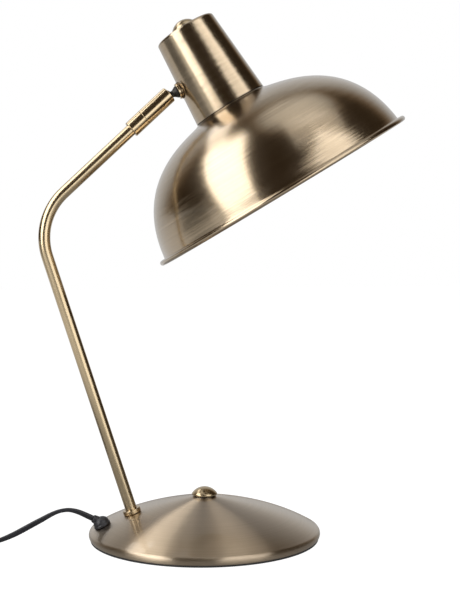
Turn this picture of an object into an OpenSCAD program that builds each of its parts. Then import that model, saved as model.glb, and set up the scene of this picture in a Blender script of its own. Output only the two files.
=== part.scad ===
// Dome shade desk lamp: round weighted base, bent tube stem, ball joint, tapered cup and dome shade.
// Millimetres, +Z up. Origin: centre of the base, on the table. The stem leans towards -X, the head
// hangs over +X, and the mains cord leaves the base towards -X.

/* [Base] */
// Radius of the base at its widest line
base_r = 100; // [85:0.5:120]
// How far the crease at the dome's foot lies inside the widest line
lip_in = 2.2; // [1.5:0.1:3]
// Height of the crease above the table
crease_z = 8.7; // [7.5:0.1:12]
// Rise of the dome from the crease to its point
dome_rise = 29.5; // [27:0.5:40]
// Share of the dome's rise that is a plain cone
dome_cone = 0.665; // [0.6:0.005:0.75]
// Power of the rounded rest of the dome
dome_power = 3.7; // [3:0.1:4.5]
// Sheet thickness of the spun cover
cover_wall = 1; // [0.8:0.1:1.2]
// Height of the rubber foot ring
foot_h = 1.6; // [1:0.1:2.5]
// Width of the rubber foot ring
foot_w = 10.6; // [6:0.2:16]
// Thickness of the bottom plate
plate_t = 1.2; // [1:0.1:2]
// Radius of the cast weight
weight_r = 80; // [60:1:81]
// Thickness of the cast weight
weight_t = 10; // [8:0.5:10.5]
// Width of the lead's slot in the weight
slot_w = 18; // [10:0.5:20]
// Radius on which the plate's screws lie
plate_screw_at = 60; // [40:1:70]

/* [Tie rod and finials] */
// Radius of the tie rod through the base
tie_r = 3; // [2.5:0.1:4]
// Radius of both domed finials
finial_r = 11; // [9:0.2:13]
// Height of both domed finials
finial_h = 7.2; // [6.5:0.1:9]
// Radius of the dark washer under each finial
finial_washer_r = 9.3; // [8:0.1:10.5]
// Thickness of the dark washer under each finial
finial_washer_t = 0.9; // [0.6:0.1:1.4]

/* [Stem] */
// Outer radius of the stem tube
stem_r = 5; // [4.5:0.1:5.4]
// Wall of the stem tube
stem_wall = 1; // [0.8:0.1:1.2]
// Distance of the stem's foot from the base's centre
foot_x = 62.7; // [58:0.1:68]
// Lean of the stem's long part away from upright, in degrees
stem_lean = 17.7; // [14:0.1:20]
// Length of the long part, from the foot to the bend's corner
stem_l = 264; // [200:1:320]
// Radius of the bend, at the tube's centre
bend_r = 52; // [30:1:70]
// Rise of the short part above level, in degrees
arm_rise = 43.2; // [35:0.1:50]
// Length of the short part, from the bend's corner to the ball's centre
arm_l = 152; // [110:1:190]
// Outer radius of the collar at the stem's foot
collar_r = 7.7; // [6.5:0.1:9]
// Height of the collar at the stem's foot
collar_h = 3.8; // [3:0.1:6]

/* [Ball joint] */
// Outer radius of the sleeve
sleeve_r = 7.15; // [7:0.05:8]
// Whole length of the sleeve
sleeve_l = 44.6; // [40:0.2:55]
// Length of the sleeve's lower piece that shows
sleeve_base_l = 14.9; // [10:0.1:17]
// How far the sleeve's mouth stands past the ball's centre
mouth_out = 3.8; // [3.4:0.1:4]
// Radius of the ball
ball_r = 6; // [5.8:0.05:6.1]
// Running clearance round the ball, on the radius
ball_fit = 0.05; // [0.03:0.01:0.1]
// Radius of the ball's neck
neck_r = 2.8; // [2.6:0.05:2.9]
// Radius of the stud's shoulder against its nut
shoulder_r = 5; // [4.2:0.1:5.6]
// Radius of the threaded stud
stud_r = 4; // [3.6:0.1:4.1]
// Running clearance round the stud, on the radius
stud_fit = 0.05; // [0.03:0.01:0.1]
// Radius of the lead's bore through the ball and stud
bore_r = 1.9; // [1.8:0.05:2]
// Radius of the inner lead
lead_r = 1.6; // [1.2:0.1:1.6]

/* [Head] */
// Tilt of the shade's axis from upright, towards -X, in degrees
head_tilt = 30.85; // [26:0.05:34]
// Turn of the head about its stud, in degrees
head_roll = -3.5; // [-10:0.5:10]
// Distance from the cup's wall to the ball's centre
ball_out = 13.8; // [12:0.1:15]
// Height of the stud above the shade's rim
stud_s = 118; // [112:0.5:124]
// Thickness of the stud's round nut
stud_nut_t = 1.7; // [1.4:0.1:2.2]
// Radius of the stud's round nut
stud_nut_r = 6.8; // [6:0.1:7.5]
// Thickness of the stud's saddle washer at its middle
saddle_t = 0.9; // [0.7:0.1:1.3]
// Radius of the stud's saddle washer
saddle_r = 7.4; // [6.8:0.1:8.2]

/* [Shade and cup] */
// Radius of the shade over its rolled rim
rim_r = 121.7; // [100:0.5:140]
// Radius of the rolled bead
bead_r = 2.2; // [1.6:0.1:2.8]
// Height of the shade from the rim's middle to its top
shade_h = 84.4; // [80:0.5:100]
// Radius where the dome meets the flat top
shade_top_r = 33.5; // [33.4:0.1:38]
// How far the dome's foot lies inside the rim
flare_in = 5.7; // [4:0.1:8]
// Height of the dome's foot above the rim's middle
flare_h = 3; // [2.4:0.1:5]
// Sheet thickness of the shade
shade_wall = 0.8; // [0.6:0.1:1]
// Bottom radius of the cup
cup_r = 32.9; // [31:0.1:33.4]
// Top radius of the cup
cup_top_r = 27; // [24:0.1:29]
// Height of the cup
cup_h = 75.3; // [68:0.1:80]
// Rounding of the cup's top edge
cup_edge = 2.5; // [1:0.1:4]
// Sheet thickness of the cup
cup_wall = 1.2; // [1:0.1:1.4]
// Height of the dark seam between shade and cup
seam_h = 1; // [0.6:0.1:1.6]

/* [Lampholder and bulb] */
// Outer radius of the lampholder's skirt
skirt_r = 20; // [19:0.1:20.5]
// Height of the skirt's lower end above the rim
skirt_s = 66; // [64:0.5:70]
// Radius of the screw shell's bore
shell_r = 13.6; // [13.4:0.05:13.8]
// Radius of the bulb's screw cap
bulb_cap_r = 13.2; // [13:0.05:13.3]
// Radius of the bulb's globe
bulb_r = 30; // [22:0.5:32]
// Radius of the hollow rod between lampholder and finial
rod_r = 5; // [4.5:0.1:5.5]

/* [Cord] */
// Width of the flat cord
cord_w = 5.2; // [4.6:0.1:5.6]
// Thickness of the flat cord
cord_t = 3.2; // [2.6:0.1:3.4]
// Distance of the gland from the base's centre
gland_x = 88.3; // [86:0.1:90]
// Outer radius of the gland's dome
gland_r = 7.3; // [6:0.1:7.6]
// Lean of the gland away from upright, in degrees
gland_lean = 26; // [22:0.5:30]
// Rise of the cord where it leaves the gland, in degrees
exit_rise = 27; // [20:0.5:35]
// Turns of the coil
coil_turns = 8.25; // [3.25:1:9.25]
// Outer radius of the coil, at the cord's centre
coil_r = 41; // [40:0.5:48]
// Step between neighbouring turns
coil_pitch = 5.8; // [5.8:0.1:6]
// Step between the coil's two layers
coil_layer = 3.7; // [3.7:0.1:4]

/* [Cord switch] */
// Length of the switch
switch_l = 62; // [58:0.5:70]
// Width of the switch
switch_w = 24; // [22:0.5:28]
// Height of the switch's case
switch_h = 13; // [12.6:0.1:14]
// Height of the switch's lower shell
switch_split = 5.5; // [5:0.1:6]
// Length of the rocker
rocker_l = 19; // [17:0.5:20]
// Width of the rocker
rocker_w = 11; // [10:0.2:12]
// Tilt of the rocker to either side, in degrees
rocker_tilt = 8; // [6:0.5:9]

/* [Plug] */
// Width of the plug
plug_w = 35; // [33:0.5:36]
// Height of the plug
plug_h = 13.6; // [12.6:0.1:15]
// Length of the plug's thick part
plug_l = 26; // [22:0.5:30]
// Distance between the pins
pin_gap = 18.6; // [18:0.1:19.2]
// Length of the pins
pin_l = 19; // [17:0.5:20]
// Radius of the pins
pin_r = 2; // [1.9:0.05:2.2]

/* [Hidden] */
$fn = 96;
brass = "#a08a62";
brass_light = "#b7a077";
steel = "#9a9a98";
iron = "#4a4a4c";
black = "#17171a";
white = "#e9e6df";

// Base: heights and radii that follow from the sizes above
crease_r = base_r - lip_in;
function dome_z(r) = crease_z + dome_rise * (1 - dome_cone * r / crease_r
    - (1 - dome_cone) * pow(r / crease_r, dome_power));
// How far the dome stands over, or falls below, a flat ring of radius r that leans with the surface
function dome_over(at, lean, r) = cos(lean) * max([for (s = [-1, 1])
    dome_z(at + s * r * cos(lean)) - dome_z(at) + s * r * sin(lean)]);
function dome_under(at, lean, r) = cos(lean) * max(concat([for (s = [-1, 1])
    dome_z(at) - s * r * sin(lean) - dome_z(at + s * r * cos(lean))],
    [dome_z(at) - dome_z(norm([at, r]))]));
pad_r = finial_washer_r + 0.4;
pad_z = dome_z(pad_r);
plate_z = foot_h;
weight_z = plate_z + plate_t;
lip_foot_in = 1.3;
plate_gap = 0.2;
plate_r = base_r - lip_foot_in - cover_wall - plate_gap;
nut_t = 4.8;
tie_nut_af = 10;
tie_washer_t = 0.8;
tie_washer_r = 8;
tie_pocket_r = 8.6;
tie_pocket_z = weight_z + 6.2;
tie_end = 0.9;
hole_gap = 0.3;
screw_r = 2;
screw_head_r = 4;
screw_l = 8;
thread_in = 5.4;

// Stem: the corner of the bend, the ball's centre and the frames along the tube
stem_up = [-sin(stem_lean), 0, cos(stem_lean)];
arm_up = [cos(arm_rise), 0, sin(arm_rise)];
foot_p = [-foot_x, 0, dome_z(foot_x)];
corner_p = foot_p + stem_l * stem_up;
ball_p = corner_p + arm_l * arm_up;
bend_turn = 90 + stem_lean - arm_rise;
bend_tangent = bend_r * tan(bend_turn / 2);
bend_centre = corner_p - bend_tangent * stem_up + bend_r * [cos(stem_lean), 0, sin(stem_lean)];
bend_lap = 0.6;
bend_hair = 0.02;
stem_tail = 8;
stem_washer_r = 10;
stem_washer_t = 1;
seat_gap = 0.05;
collar_lift = seat_gap + max(0, dome_over(foot_x, stem_lean, stem_r),
    dome_over(foot_x, stem_lean, collar_r));
washer_drop = seat_gap + max(0, dome_under(foot_x, stem_lean, stem_washer_r));
stem_nut_af = 15;
stem_nut_t = 4;
socket_r = ball_r + 0.3;
stem_top = -20;
spigot_top = -12;
seat_top = -2;
seat_foot = -9.5;
sleeve_foot = mouth_out - sleeve_l;
sleeve_split = sleeve_foot + sleeve_base_l;
spring_t = 0.8;
spring_in_r = 3;

// Head: heights are measured along the shade's axis from the rim's middle
cup_s = shade_h + seam_h;
cup_top_s = cup_s + cup_h;
cup_taper = atan((cup_r - cup_top_r) / cup_h);
stud_wall_r = cup_r - (stud_s - cup_s) * tan(cup_taper);
stud_wall_p = [-stud_wall_r, 0, stud_s];
stud_out = [-cos(cup_taper), 0, sin(cup_taper)];
ball_local = stud_wall_p + ball_out * stud_out;
stud_rise = head_tilt - cup_taper;
stud_nut_z = saddle_t + stud_nut_t;
face_gap = 0.1;
inner_saddle_t = 1.2;
inner_saddle_r = 6.6;
locknut_t = 3.4;
locknut_af = 12;
locknut_z = -cup_wall - inner_saddle_t;
stud_end = locknut_z - locknut_t - 1;
foot_r = rim_r - flare_in;
bead_at = rim_r - bead_r;
flange_r = skirt_r + 5;
flange_t = 2;
skirt_top = 104;
holder_cap_s = skirt_top;
holder_cap_r = 18.5;
holder_band_h = 8;
holder_cone_h = 12;
holder_neck_h = 4;
holder_cone_s = holder_cap_s + holder_band_h;
holder_neck_s = holder_cone_s + holder_cone_h;
holder_neck_r = 9;
holder_top = holder_neck_s + holder_neck_h;
holder_wall = 2;
shell_t = 0.7;
shell_top = 98;
bulb_tip = 96.6;
bulb_neck_s = 70;
bulb_mid_s = 38;
ring_t = 6;
ring_w = 7;
rod_foot = holder_top - 6;

// Cord: the gland's frame, the coil's place and the free routes as [x, y, z, roll of the flat]
gland_p = [-gland_x, 0, dome_z(gland_x)];
gland_up = [-sin(gland_lean), 0, cos(gland_lean)];
gland_mid = 3.5;
gland_boss_l = 7.6;
gland_boss_r = 3.5;
gland_barrel_r = 4.4;
gland_snap_r = 5.6;
gland_snap_t = 1.8;
gland_lift = seat_gap + max(0, dome_over(gland_x, gland_lean, gland_r),
    dome_over(gland_x, gland_lean, gland_barrel_r));
gland_drop = seat_gap + max(0, dome_under(gland_x, gland_lean, gland_snap_r));
exit_dir = [-cos(exit_rise), 0, sin(exit_rise)];
exit_p = gland_p + gland_mid * gland_up + gland_boss_l * exit_dir;
function route_at(p, roll) = [p[0], p[1], p[2], roll];
lie_z = cord_t / 2 + 0.1;
switch_x = -253;
switch_mid_z = 5;
switch_near = switch_x + switch_l / 2;
switch_far = switch_x - switch_l / 2;
coil_p = [-279, 62];
coil_lie = 1.7;
coil_steps = 24;
coil_start = 180;
coil_in = [coil_p[0] - coil_r, coil_p[1] - cord_w, coil_lie, 0];
coil_out = [coil_p[0] + cord_w, coil_p[1] + coil_r, coil_lie + coil_layer, 0];
lead_route = [
    route_at(exit_p, 70), route_at(exit_p + 5 * exit_dir, 64),
    [-109, 0, 26.4, 45], [-117, 0, 28.4, 24], [-125, 0, 27.6, 20], [-132, 0, 25, 34],
    [-139, 0, 21.4, 52], [-147, 0, 17.4, 66], [-155, 0, 13.3, 70], [-163, 0, 9.4, 60],
    [-171, 0, 6.2, 44], [-179, 0, 3.8, 26], [-187, 0, 2.4, 10], [-195, 0, 1.9, 0],
    [-203, 0, 2.4, 0], [-210, 0, 3.7, 0], [-216, 0, 4.8, 0], [switch_near, 0, switch_mid_z, 0]
];
link_route = [
    [switch_far, 0, switch_mid_z, 0], [-290, 0, 4.4, 0], [-297, 0.4, 3, 0], [-304, 2.8, 2.2, 0],
    [-310.5, 7, 1.9, 0], [-315.7, 12.8, 1.8, 0], [-319, 19.6, 1.7, 0], [-320, 27, 1.7, 0],
    [-320, 37, 1.7, 0], [-320, 47, 1.7, 0], coil_in
];
plug_back = -250;
plug_y = coil_out[1];
plug_mid_z = plug_h / 2;
tail_route = [
    coil_out, [-267, plug_y, 5.5, 0], [-261, plug_y, 6.2, 0], [-256, plug_y, 6.7, 0],
    [plug_back, plug_y, plug_mid_z, 0]
];

// Inner lead: from the gland's foot, under the weight's top, up the stem to the ball
lead_foot = gland_p - (cover_wall + gland_drop + gland_snap_t) * gland_up;
stem_end_p = foot_p - stem_tail * stem_up;
bend_steps = 10;
inner_route = concat(
    [route_at(lead_foot, 0), [-82.5, 0, 6.6, 0], [-78, 0, 5.6, 0], [-72, 0, 5.2, 0],
        [-66, 0, 5.6, 0], [-62, 0, 8, 0], [-60.2, 0, 12, 0]],
    [route_at(stem_end_p, 0), route_at(foot_p + 20 * stem_up, 0)],
    [for (i = [0 : bend_steps])
        let (a = 180 + stem_lean - bend_turn * i / bend_steps)
        route_at(bend_centre + bend_r * [cos(a), 0, sin(a)], 0)],
    [route_at(ball_p + stem_top * arm_up, 0), route_at(ball_p - (ball_r + 0.4) * arm_up, 0)]
);

// Head's lead, in the head's own frame: from the stud's bore into the lampholder's cap
function stud_at(z) = route_at(stud_wall_p + z * stud_out, 0);
head_route = [
    stud_at(stud_end - 0.3), stud_at(stud_end - 5), stud_at(stud_end - 10),
    stud_at(stud_end - 13.2), [-9.4, 0, 115.2, 0], [-8.8, 0, 112, 0], [-8.7, 0, 108, 0],
    [-8.7, 0, skirt_top + 0.1, 0]
];

// Switch and plug
switch_wall = 2;
switch_round = 6;
rocker_z = switch_h - 2.8;
rocker_gap = 0.8;
rocker_side_gap = 0.3;
trunnion_r = 1.2;
trunnion_l = 2;
trunnion_fit = 0.05;
ear_t = 2.2;
switch_screw_x = switch_l / 2 - 6;
switch_screw_r = 1.3;
boss_r = 3.4;
neck_l = 14;
neck_back_r = 3.6;
neck_front_r = 4.8;
plug_taper_l = 10;
plug_face = plug_back + neck_l + plug_taper_l + plug_l;
pin_in = 8;
sleeve_in_r = 1.6;
pin_sleeve_l = 10;

// Shared shapes -----------------------------------------------------------------------------

// Flat ring or tube standing on z = 0
module ring(r_out, r_in, h) {
    difference() {
        cylinder(r = r_out, h = h);
        translate([0, 0, -1]) cylinder(r = r_in, h = h + 2);
    }
}

// Six-sided nut standing on z = 0, measured across its flats
module hex_nut(af, r_in, h) {
    difference() {
        cylinder(r = af / 2 / cos(30), h = h, $fn = 6);
        translate([0, 0, -1]) cylinder(r = r_in, h = h + 2);
    }
}

// The way along an outline at one of its points, and the outline one wall further in
function heading(p, i) =
    let (d = p[min(i + 1, len(p) - 1)] - p[max(i - 1, 0)]) d / norm(d);
function inside(p, wall) = [for (i = [len(p) - 1 : -1 : 0])
    let (t = heading(p, i)) [max(0, p[i][0] + wall * t[1]), p[i][1] - wall * t[0]]];

// Spun shell: an outline that runs outwards and down, turned about the axis with one wall
module spun(outline, wall) {
    rotate_extrude() polygon(concat(outline, inside(outline, wall)));
}

// Rectangle with round corners, made of plain squares and circles
module round_rect(l, w, r) {
    square([l - 2 * r, w], center = true);
    square([l, w - 2 * r], center = true);
    for (x = [-1, 1], y = [-1, 1]) translate([x * (l / 2 - r), y * (w / 2 - r)]) circle(r = r);
}

// Ring of a cord's section round one point of its route, and the tube through all rings
function unit(v) = v / norm(v);
function xyz(p) = [p[0], p[1], p[2]];
function way(route, i) =
    unit(xyz(route[min(i + 1, len(route) - 1)]) - xyz(route[max(i - 1, 0)]));
function section(route, i, sides, w, t) =
    let (d = way(route, i), side = unit(cross([0, 0, 1], d) + [0, 1e-6, 0]), up = cross(d, side),
        c = cos(route[i][3]), s = sin(route[i][3]),
        top = sides == 6 ? sin(60) : 1)
    [for (k = [0 : sides - 1]) let (a = 360 * k / sides,
        u = w / 2 * cos(a), v = t / 2 * sin(a) / top)
        xyz(route[i]) + (u * c - v * s) * side + (u * s + v * c) * up];
module tube(route, sides, w, t) {
    n = len(route);
    rings = [for (i = [0 : n - 1]) each section(route, i, sides, w, t)];
    skin = [for (i = [0 : n - 2], k = [0 : sides - 1])
        let (a = i * sides + k, b = i * sides + (k + 1) % sides)
        each [[a, b, b + sides], [a, b + sides, a + sides]]];
    first = [for (k = [1 : sides - 2]) [0, k + 1, k]];
    end = [for (k = [1 : sides - 2]) let (e = (n - 1) * sides) [e, e + k, e + k + 1]];
    polyhedron(points = rings, faces = [for (f = concat(skin, first, end)) [f[2], f[1], f[0]]]);
}
function route_length(route) = len(route) < 2 ? 0 :
    [for (i = 1, s = 0; i <= len(route);
        s = s + (i < len(route) ? norm(xyz(route[i]) - xyz(route[i - 1])) : 0), i = i + 1) s]
    [len(route) - 1];

// Frames of the lamp: the foot, the sleeve, the head and its stud, and the gland
module at_foot() { translate(foot_p) rotate([0, -stem_lean, 0]) children(); }
module at_arm() { translate(ball_p) rotate([0, 90 - arm_rise, 0]) children(); }
module in_head() {
    translate(ball_p)
        rotate(a = head_roll, v = [cos(stud_rise), 0, sin(stud_rise)])
        rotate([0, -head_tilt, 0])
        translate(-ball_local) children();
}
module at_stud() { translate(stud_wall_p) rotate([0, cup_taper - 90, 0]) children(); }
module at_gland() { translate(gland_p) rotate([0, -gland_lean, 0]) children(); }

// Base --------------------------------------------------------------------------------------

dome_steps = 16;
cover_outline = concat(
    [[tie_r + hole_gap, pad_z]],
    [for (i = [0 : dome_steps]) let (r = pad_r + (crease_r - pad_r) * i / dome_steps)
        [r, dome_z(r)]],
    [[base_r - 0.9, crease_z - 1.2], [base_r, crease_z - 3.6], [base_r - 0.2, foot_h + 1.4],
        [base_r - lip_foot_in, foot_h]]
);

// Spun steel cover with the creased lip, pierced for the stem and the gland
module base_cover() {
    color(brass_light) difference() {
        spun(cover_outline, cover_wall);
        at_foot() translate([0, 0, -6]) cylinder(r = stem_r + hole_gap, h = 12);
        at_gland() translate([0, 0, -6]) cylinder(r = gland_barrel_r + 0.1, h = 12);
    }
}

// Cast iron disc with a slot for the lead and a pocket for the tie rod's nut
module base_weight() {
    color(iron) translate([0, 0, weight_z]) difference() {
        cylinder(r = weight_r, h = weight_t);
        translate([0, 0, -1]) cylinder(r = tie_r + hole_gap, h = weight_t + 2);
        translate([0, 0, -1]) cylinder(r = tie_pocket_r, h = tie_pocket_z - weight_z + 1);
        translate([-weight_r - 2, -slot_w / 2, -1])
            cube([weight_r - foot_x + 18, slot_w, weight_t + 2]);
        for (a = [0, 120, 240]) rotate(a) translate([plate_screw_at, 0, -1])
            cylinder(r = screw_r, h = screw_l + 1);
    }
}

// Steel bottom plate with countersunk screw holes
module base_plate() {
    color(iron) translate([0, 0, plate_z]) difference() {
        cylinder(r = plate_r, h = plate_t);
        translate([0, 0, -1]) cylinder(r = tie_pocket_r, h = plate_t + 2);
        for (a = [0, 120, 240]) rotate(a) translate([plate_screw_at, 0, 0])
            cylinder(r1 = screw_head_r, r2 = screw_r, h = plate_t);
    }
}

// Three countersunk screws through the plate into the weight
module base_screws() {
    color(steel) for (a = [0, 120, 240]) rotate(a) translate([plate_screw_at, 0, plate_z])
        difference() {
            union() {
                cylinder(r1 = screw_head_r, r2 = screw_r, h = plate_t);
                cylinder(r = screw_r, h = plate_t + screw_l - 1);
            }
            translate([-screw_head_r, -0.4, -1]) cube([2 * screw_head_r, 0.8, 1.5]);
        }
}

// Rubber ring that the lamp stands on
module foot_ring() {
    color(black) ring(base_r - lip_foot_in, base_r - lip_foot_in - foot_w, foot_h);
}

// Threaded rod that pulls the finial, the cover and the weight together
module tie_rod() {
    color(steel) translate([0, 0, weight_z + tie_end])
        cylinder(r = tie_r, h = pad_z + finial_washer_t + thread_in - weight_z - tie_end);
}

module tie_nut() {
    color(steel) translate([0, 0, tie_pocket_z - tie_washer_t - nut_t])
        hex_nut(tie_nut_af, tie_r, nut_t);
}

module tie_washer() {
    color(steel) translate([0, 0, tie_pocket_z - tie_washer_t])
        ring(tie_washer_r, tie_r + hole_gap, tie_washer_t);
}

// Domed cap nut: a short edge band and a spherical crown over a blind hole
module finial(hole_r) {
    band = 1.4;
    crown = finial_h - band;
    round_r = (finial_r * finial_r + crown * crown) / (2 * crown);
    difference() {
        union() {
            cylinder(r1 = finial_r - 0.4, r2 = finial_r, h = 0.4);
            translate([0, 0, 0.4]) cylinder(r = finial_r, h = band - 0.4);
            intersection() {
                translate([0, 0, finial_h - round_r]) sphere(r = round_r);
                translate([0, 0, band]) cylinder(r = finial_r, h = finial_h);
            }
        }
        translate([0, 0, -1]) cylinder(r = hole_r, h = thread_in + 1);
    }
}

module base_finial() {
    color(brass) translate([0, 0, pad_z + finial_washer_t]) finial(tie_r);
}

module base_finial_washer() {
    color(black) translate([0, 0, pad_z])
        ring(finial_washer_r, tie_r + hole_gap, finial_washer_t);
}

// Stem --------------------------------------------------------------------------------------

// Solid rod along the stem: long part, bend and short part. The bend laps over both straight ends
// and differs from them by a hair on the radius.
module stem_rod(r, lap_r) {
    at_foot() translate([0, 0, -stem_tail]) cylinder(r = r, h = stem_l - bend_tangent + stem_tail);
    translate(bend_centre) rotate([90, 0, 0]) rotate(180 + stem_lean - bend_turn - bend_lap)
        rotate_extrude(angle = bend_turn + 2 * bend_lap) translate([bend_r, 0]) circle(r = lap_r);
    at_arm() translate([0, 0, bend_tangent - arm_l])
        cylinder(r = r, h = arm_l - bend_tangent + stem_top);
}

module stem_tube() {
    color(brass) difference() {
        stem_rod(stem_r, stem_r + bend_hair);
        stem_rod(stem_r - stem_wall, stem_r - stem_wall - bend_hair);
        at_foot() translate([0, 0, -stem_tail - 1]) cylinder(r = stem_r - stem_wall, h = 4);
        at_arm() translate([0, 0, stem_top - 3]) cylinder(r = stem_r - stem_wall, h = 4);
    }
}

// Turned collar brazed round the stem where it meets the cover
module stem_collar() {
    edge = 0.6;
    color(brass) at_foot() rotate_extrude() polygon([
        [stem_r, collar_lift], [collar_r - edge, collar_lift], [collar_r, collar_lift + edge],
        [collar_r, collar_h - edge], [collar_r - edge, collar_h], [stem_r, collar_h]
    ]);
}

module stem_washer() {
    color(steel) at_foot() translate([0, 0, -cover_wall - washer_drop - stem_washer_t])
        ring(stem_washer_r, stem_r, stem_washer_t);
}

module stem_nut() {
    color(steel) at_foot()
        translate([0, 0, -cover_wall - washer_drop - stem_washer_t - stem_nut_t])
        hex_nut(stem_nut_af, stem_r, stem_nut_t);
}

// Ball joint --------------------------------------------------------------------------------

// Lower sleeve: bored for the stem, with a spigot that screws into the upper sleeve
module sleeve_base() {
    edge = 0.5;
    color(brass) at_arm() difference() {
        rotate_extrude() polygon([
            [0, sleeve_foot], [sleeve_r - edge, sleeve_foot], [sleeve_r, sleeve_foot + edge],
            [sleeve_r, sleeve_split - edge / 2], [sleeve_r - edge / 2, sleeve_split],
            [socket_r, sleeve_split], [socket_r, spigot_top], [0, spigot_top]
        ]);
        translate([0, 0, sleeve_foot - 1]) cylinder(r = stem_r, h = stem_top - sleeve_foot + 1);
        translate([0, 0, stem_top - 1]) cylinder(r = bore_r + 0.7, h = spigot_top - stem_top + 2);
    }
}

// Upper sleeve: clamps the ball between its lip and the seat
module sleeve_cap() {
    edge = 0.5;
    mouth_r = sqrt(pow(ball_r + ball_fit, 2) - pow(mouth_out - 0.25, 2));
    color(brass) at_arm() difference() {
        rotate_extrude() polygon([
            [0, sleeve_split], [sleeve_r - edge / 2, sleeve_split],
            [sleeve_r, sleeve_split + edge / 2], [sleeve_r, mouth_out - edge],
            [sleeve_r - edge, mouth_out], [0, mouth_out]
        ]);
        translate([0, 0, sleeve_split - 1]) cylinder(r = socket_r, h = -sleeve_split + 1);
        sphere(r = ball_r + ball_fit);
        translate([0, 0, 1]) cylinder(r = mouth_r, h = mouth_out);
    }
}

// Disc spring that keeps the seat against the ball
module seat_spring() {
    color(steel) at_arm() rotate_extrude() polygon([
        [spring_in_r, seat_foot - spring_t], [spring_in_r, seat_foot],
        [socket_r - 0.2, spigot_top + spring_t], [socket_r - 0.2, spigot_top]
    ]);
}

// Nylon seat, free to turn in the sleeve
module ball_seat() {
    color(white) at_arm() difference() {
        translate([0, 0, seat_foot + 0.02]) cylinder(r = socket_r - 0.05, h = seat_top - seat_foot);
        sphere(r = ball_r + ball_fit);
        translate([0, 0, seat_foot - 1]) cylinder(r = bore_r + 0.7, h = 10);
    }
}

// Blackened ball with its neck, shoulder and hollow threaded stud
module ball_stud() {
    shoulder_z = stud_nut_z + face_gap;
    color(black) in_head() at_stud() difference() {
        union() {
            translate([0, 0, ball_out]) sphere(r = ball_r);
            translate([0, 0, shoulder_z + 1]) cylinder(r1 = shoulder_r, r2 = neck_r, h = 3.4);
            translate([0, 0, shoulder_z]) cylinder(r = shoulder_r, h = 1);
            translate([0, 0, shoulder_z + 4.4]) cylinder(r = neck_r, h = ball_out - shoulder_z - 4.4);
            translate([0, 0, stud_end]) cylinder(r = stud_r, h = shoulder_z - stud_end);
        }
        translate([0, 0, stud_end - 1]) cylinder(r = bore_r, h = ball_out + ball_r - stud_end + 2);
    }
}

// Head --------------------------------------------------------------------------------------

// Solid cone of the cup's outside, or its inside with one wall taken off
module cup_cone(inset) {
    slant = inset / cos(cup_taper);
    translate([0, 0, cup_s])
        cylinder(r1 = cup_r - slant, r2 = cup_top_r - slant, h = cup_h, $fn = 360);
}

module stud_nut() {
    color(brass) in_head() at_stud() translate([0, 0, saddle_t])
        ring(stud_nut_r, stud_r + stud_fit, stud_nut_t);
}

// Washer with a flat face for the nut and a hollow face for the round cup
module stud_washer() {
    color(brass_light) in_head() difference() {
        at_stud() translate([0, 0, -2]) ring(saddle_r, stud_r + stud_fit, 2 + saddle_t);
        cup_cone(0);
    }
}

module stud_inner_washer() {
    color(steel) in_head() intersection() {
        at_stud() translate([0, 0, locknut_z])
            ring(inner_saddle_r, stud_r + stud_fit, inner_saddle_t + 1);
        cup_cone(cup_wall);
    }
}

module stud_locknut() {
    color(steel) in_head() at_stud() translate([0, 0, locknut_z - locknut_t])
        hex_nut(locknut_af, stud_r + stud_fit, locknut_t);
}

cup_corner_steps = 6;
cup_corner = [cup_top_r - cup_edge * (1 - sin(cup_taper)) / cos(cup_taper), cup_top_s - cup_edge];
cup_outline = concat(
    [[rod_r + 0.1, cup_top_s]],
    [for (i = [0 : cup_corner_steps]) let (a = 90 - (90 - cup_taper) * i / cup_corner_steps)
        cup_corner + cup_edge * [cos(a), sin(a)]],
    [[cup_r, cup_s]]
);

// Tapered spun cup, drilled for the stud
module cup() {
    color(brass) in_head() difference() {
        spun(cup_outline, cup_wall);
        translate([0, 0, cup_s - 1]) cylinder(r = cup_r + 1, h = 1);
        at_stud() translate([0, 0, -6]) cylinder(r = stud_r + stud_fit, h = 12);
    }
}

// Dark gasket in the seam between shade and cup
module seam_ring() {
    color(black) in_head() translate([0, 0, shade_h])
        ring(cup_r - 0.7, cup_r - cup_wall - 2, seam_h);
}

module cup_finial_washer() {
    color(black) in_head() translate([0, 0, cup_top_s])
        ring(finial_washer_r, rod_r, finial_washer_t);
}

module cup_finial() {
    color(brass) in_head() translate([0, 0, cup_top_s + finial_washer_t]) finial(rod_r);
}

// Hollow threaded rod from the lampholder to the finial
module holder_rod() {
    color(steel) in_head() translate([0, 0, rod_foot])
        ring(rod_r, rod_r - 1.2, cup_top_s + finial_washer_t + thread_in - rod_foot);
}

module rod_washer() {
    color(steel) in_head() translate([0, 0, cup_top_s - cup_wall - 1]) ring(rod_r + 5, rod_r, 1);
}

module rod_nut() {
    color(steel) in_head() translate([0, 0, cup_top_s - cup_wall - 1 - nut_t])
        hex_nut(2 * rod_r + 4, rod_r, nut_t);
}

// Moulded cap of the lampholder: the lead enters through its cone
module holder_cap() {
    wall = holder_wall;
    color(white) in_head() difference() {
        rotate_extrude() polygon([
            [rod_r, holder_top], [holder_neck_r, holder_top], [holder_neck_r, holder_neck_s],
            [holder_cap_r, holder_cone_s], [holder_cap_r, holder_cap_s],
            [holder_cap_r - wall, holder_cap_s], [holder_cap_r - wall, holder_cone_s - 1],
            [rod_r + wall, holder_neck_s - wall], [rod_r + wall, rod_foot], [rod_r, rod_foot]
        ]);
        at_stud() translate([0, 0, -stud_wall_r])
            cylinder(r = lead_r + hole_gap, h = holder_cap_r + hole_gap);
    }
}

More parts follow.
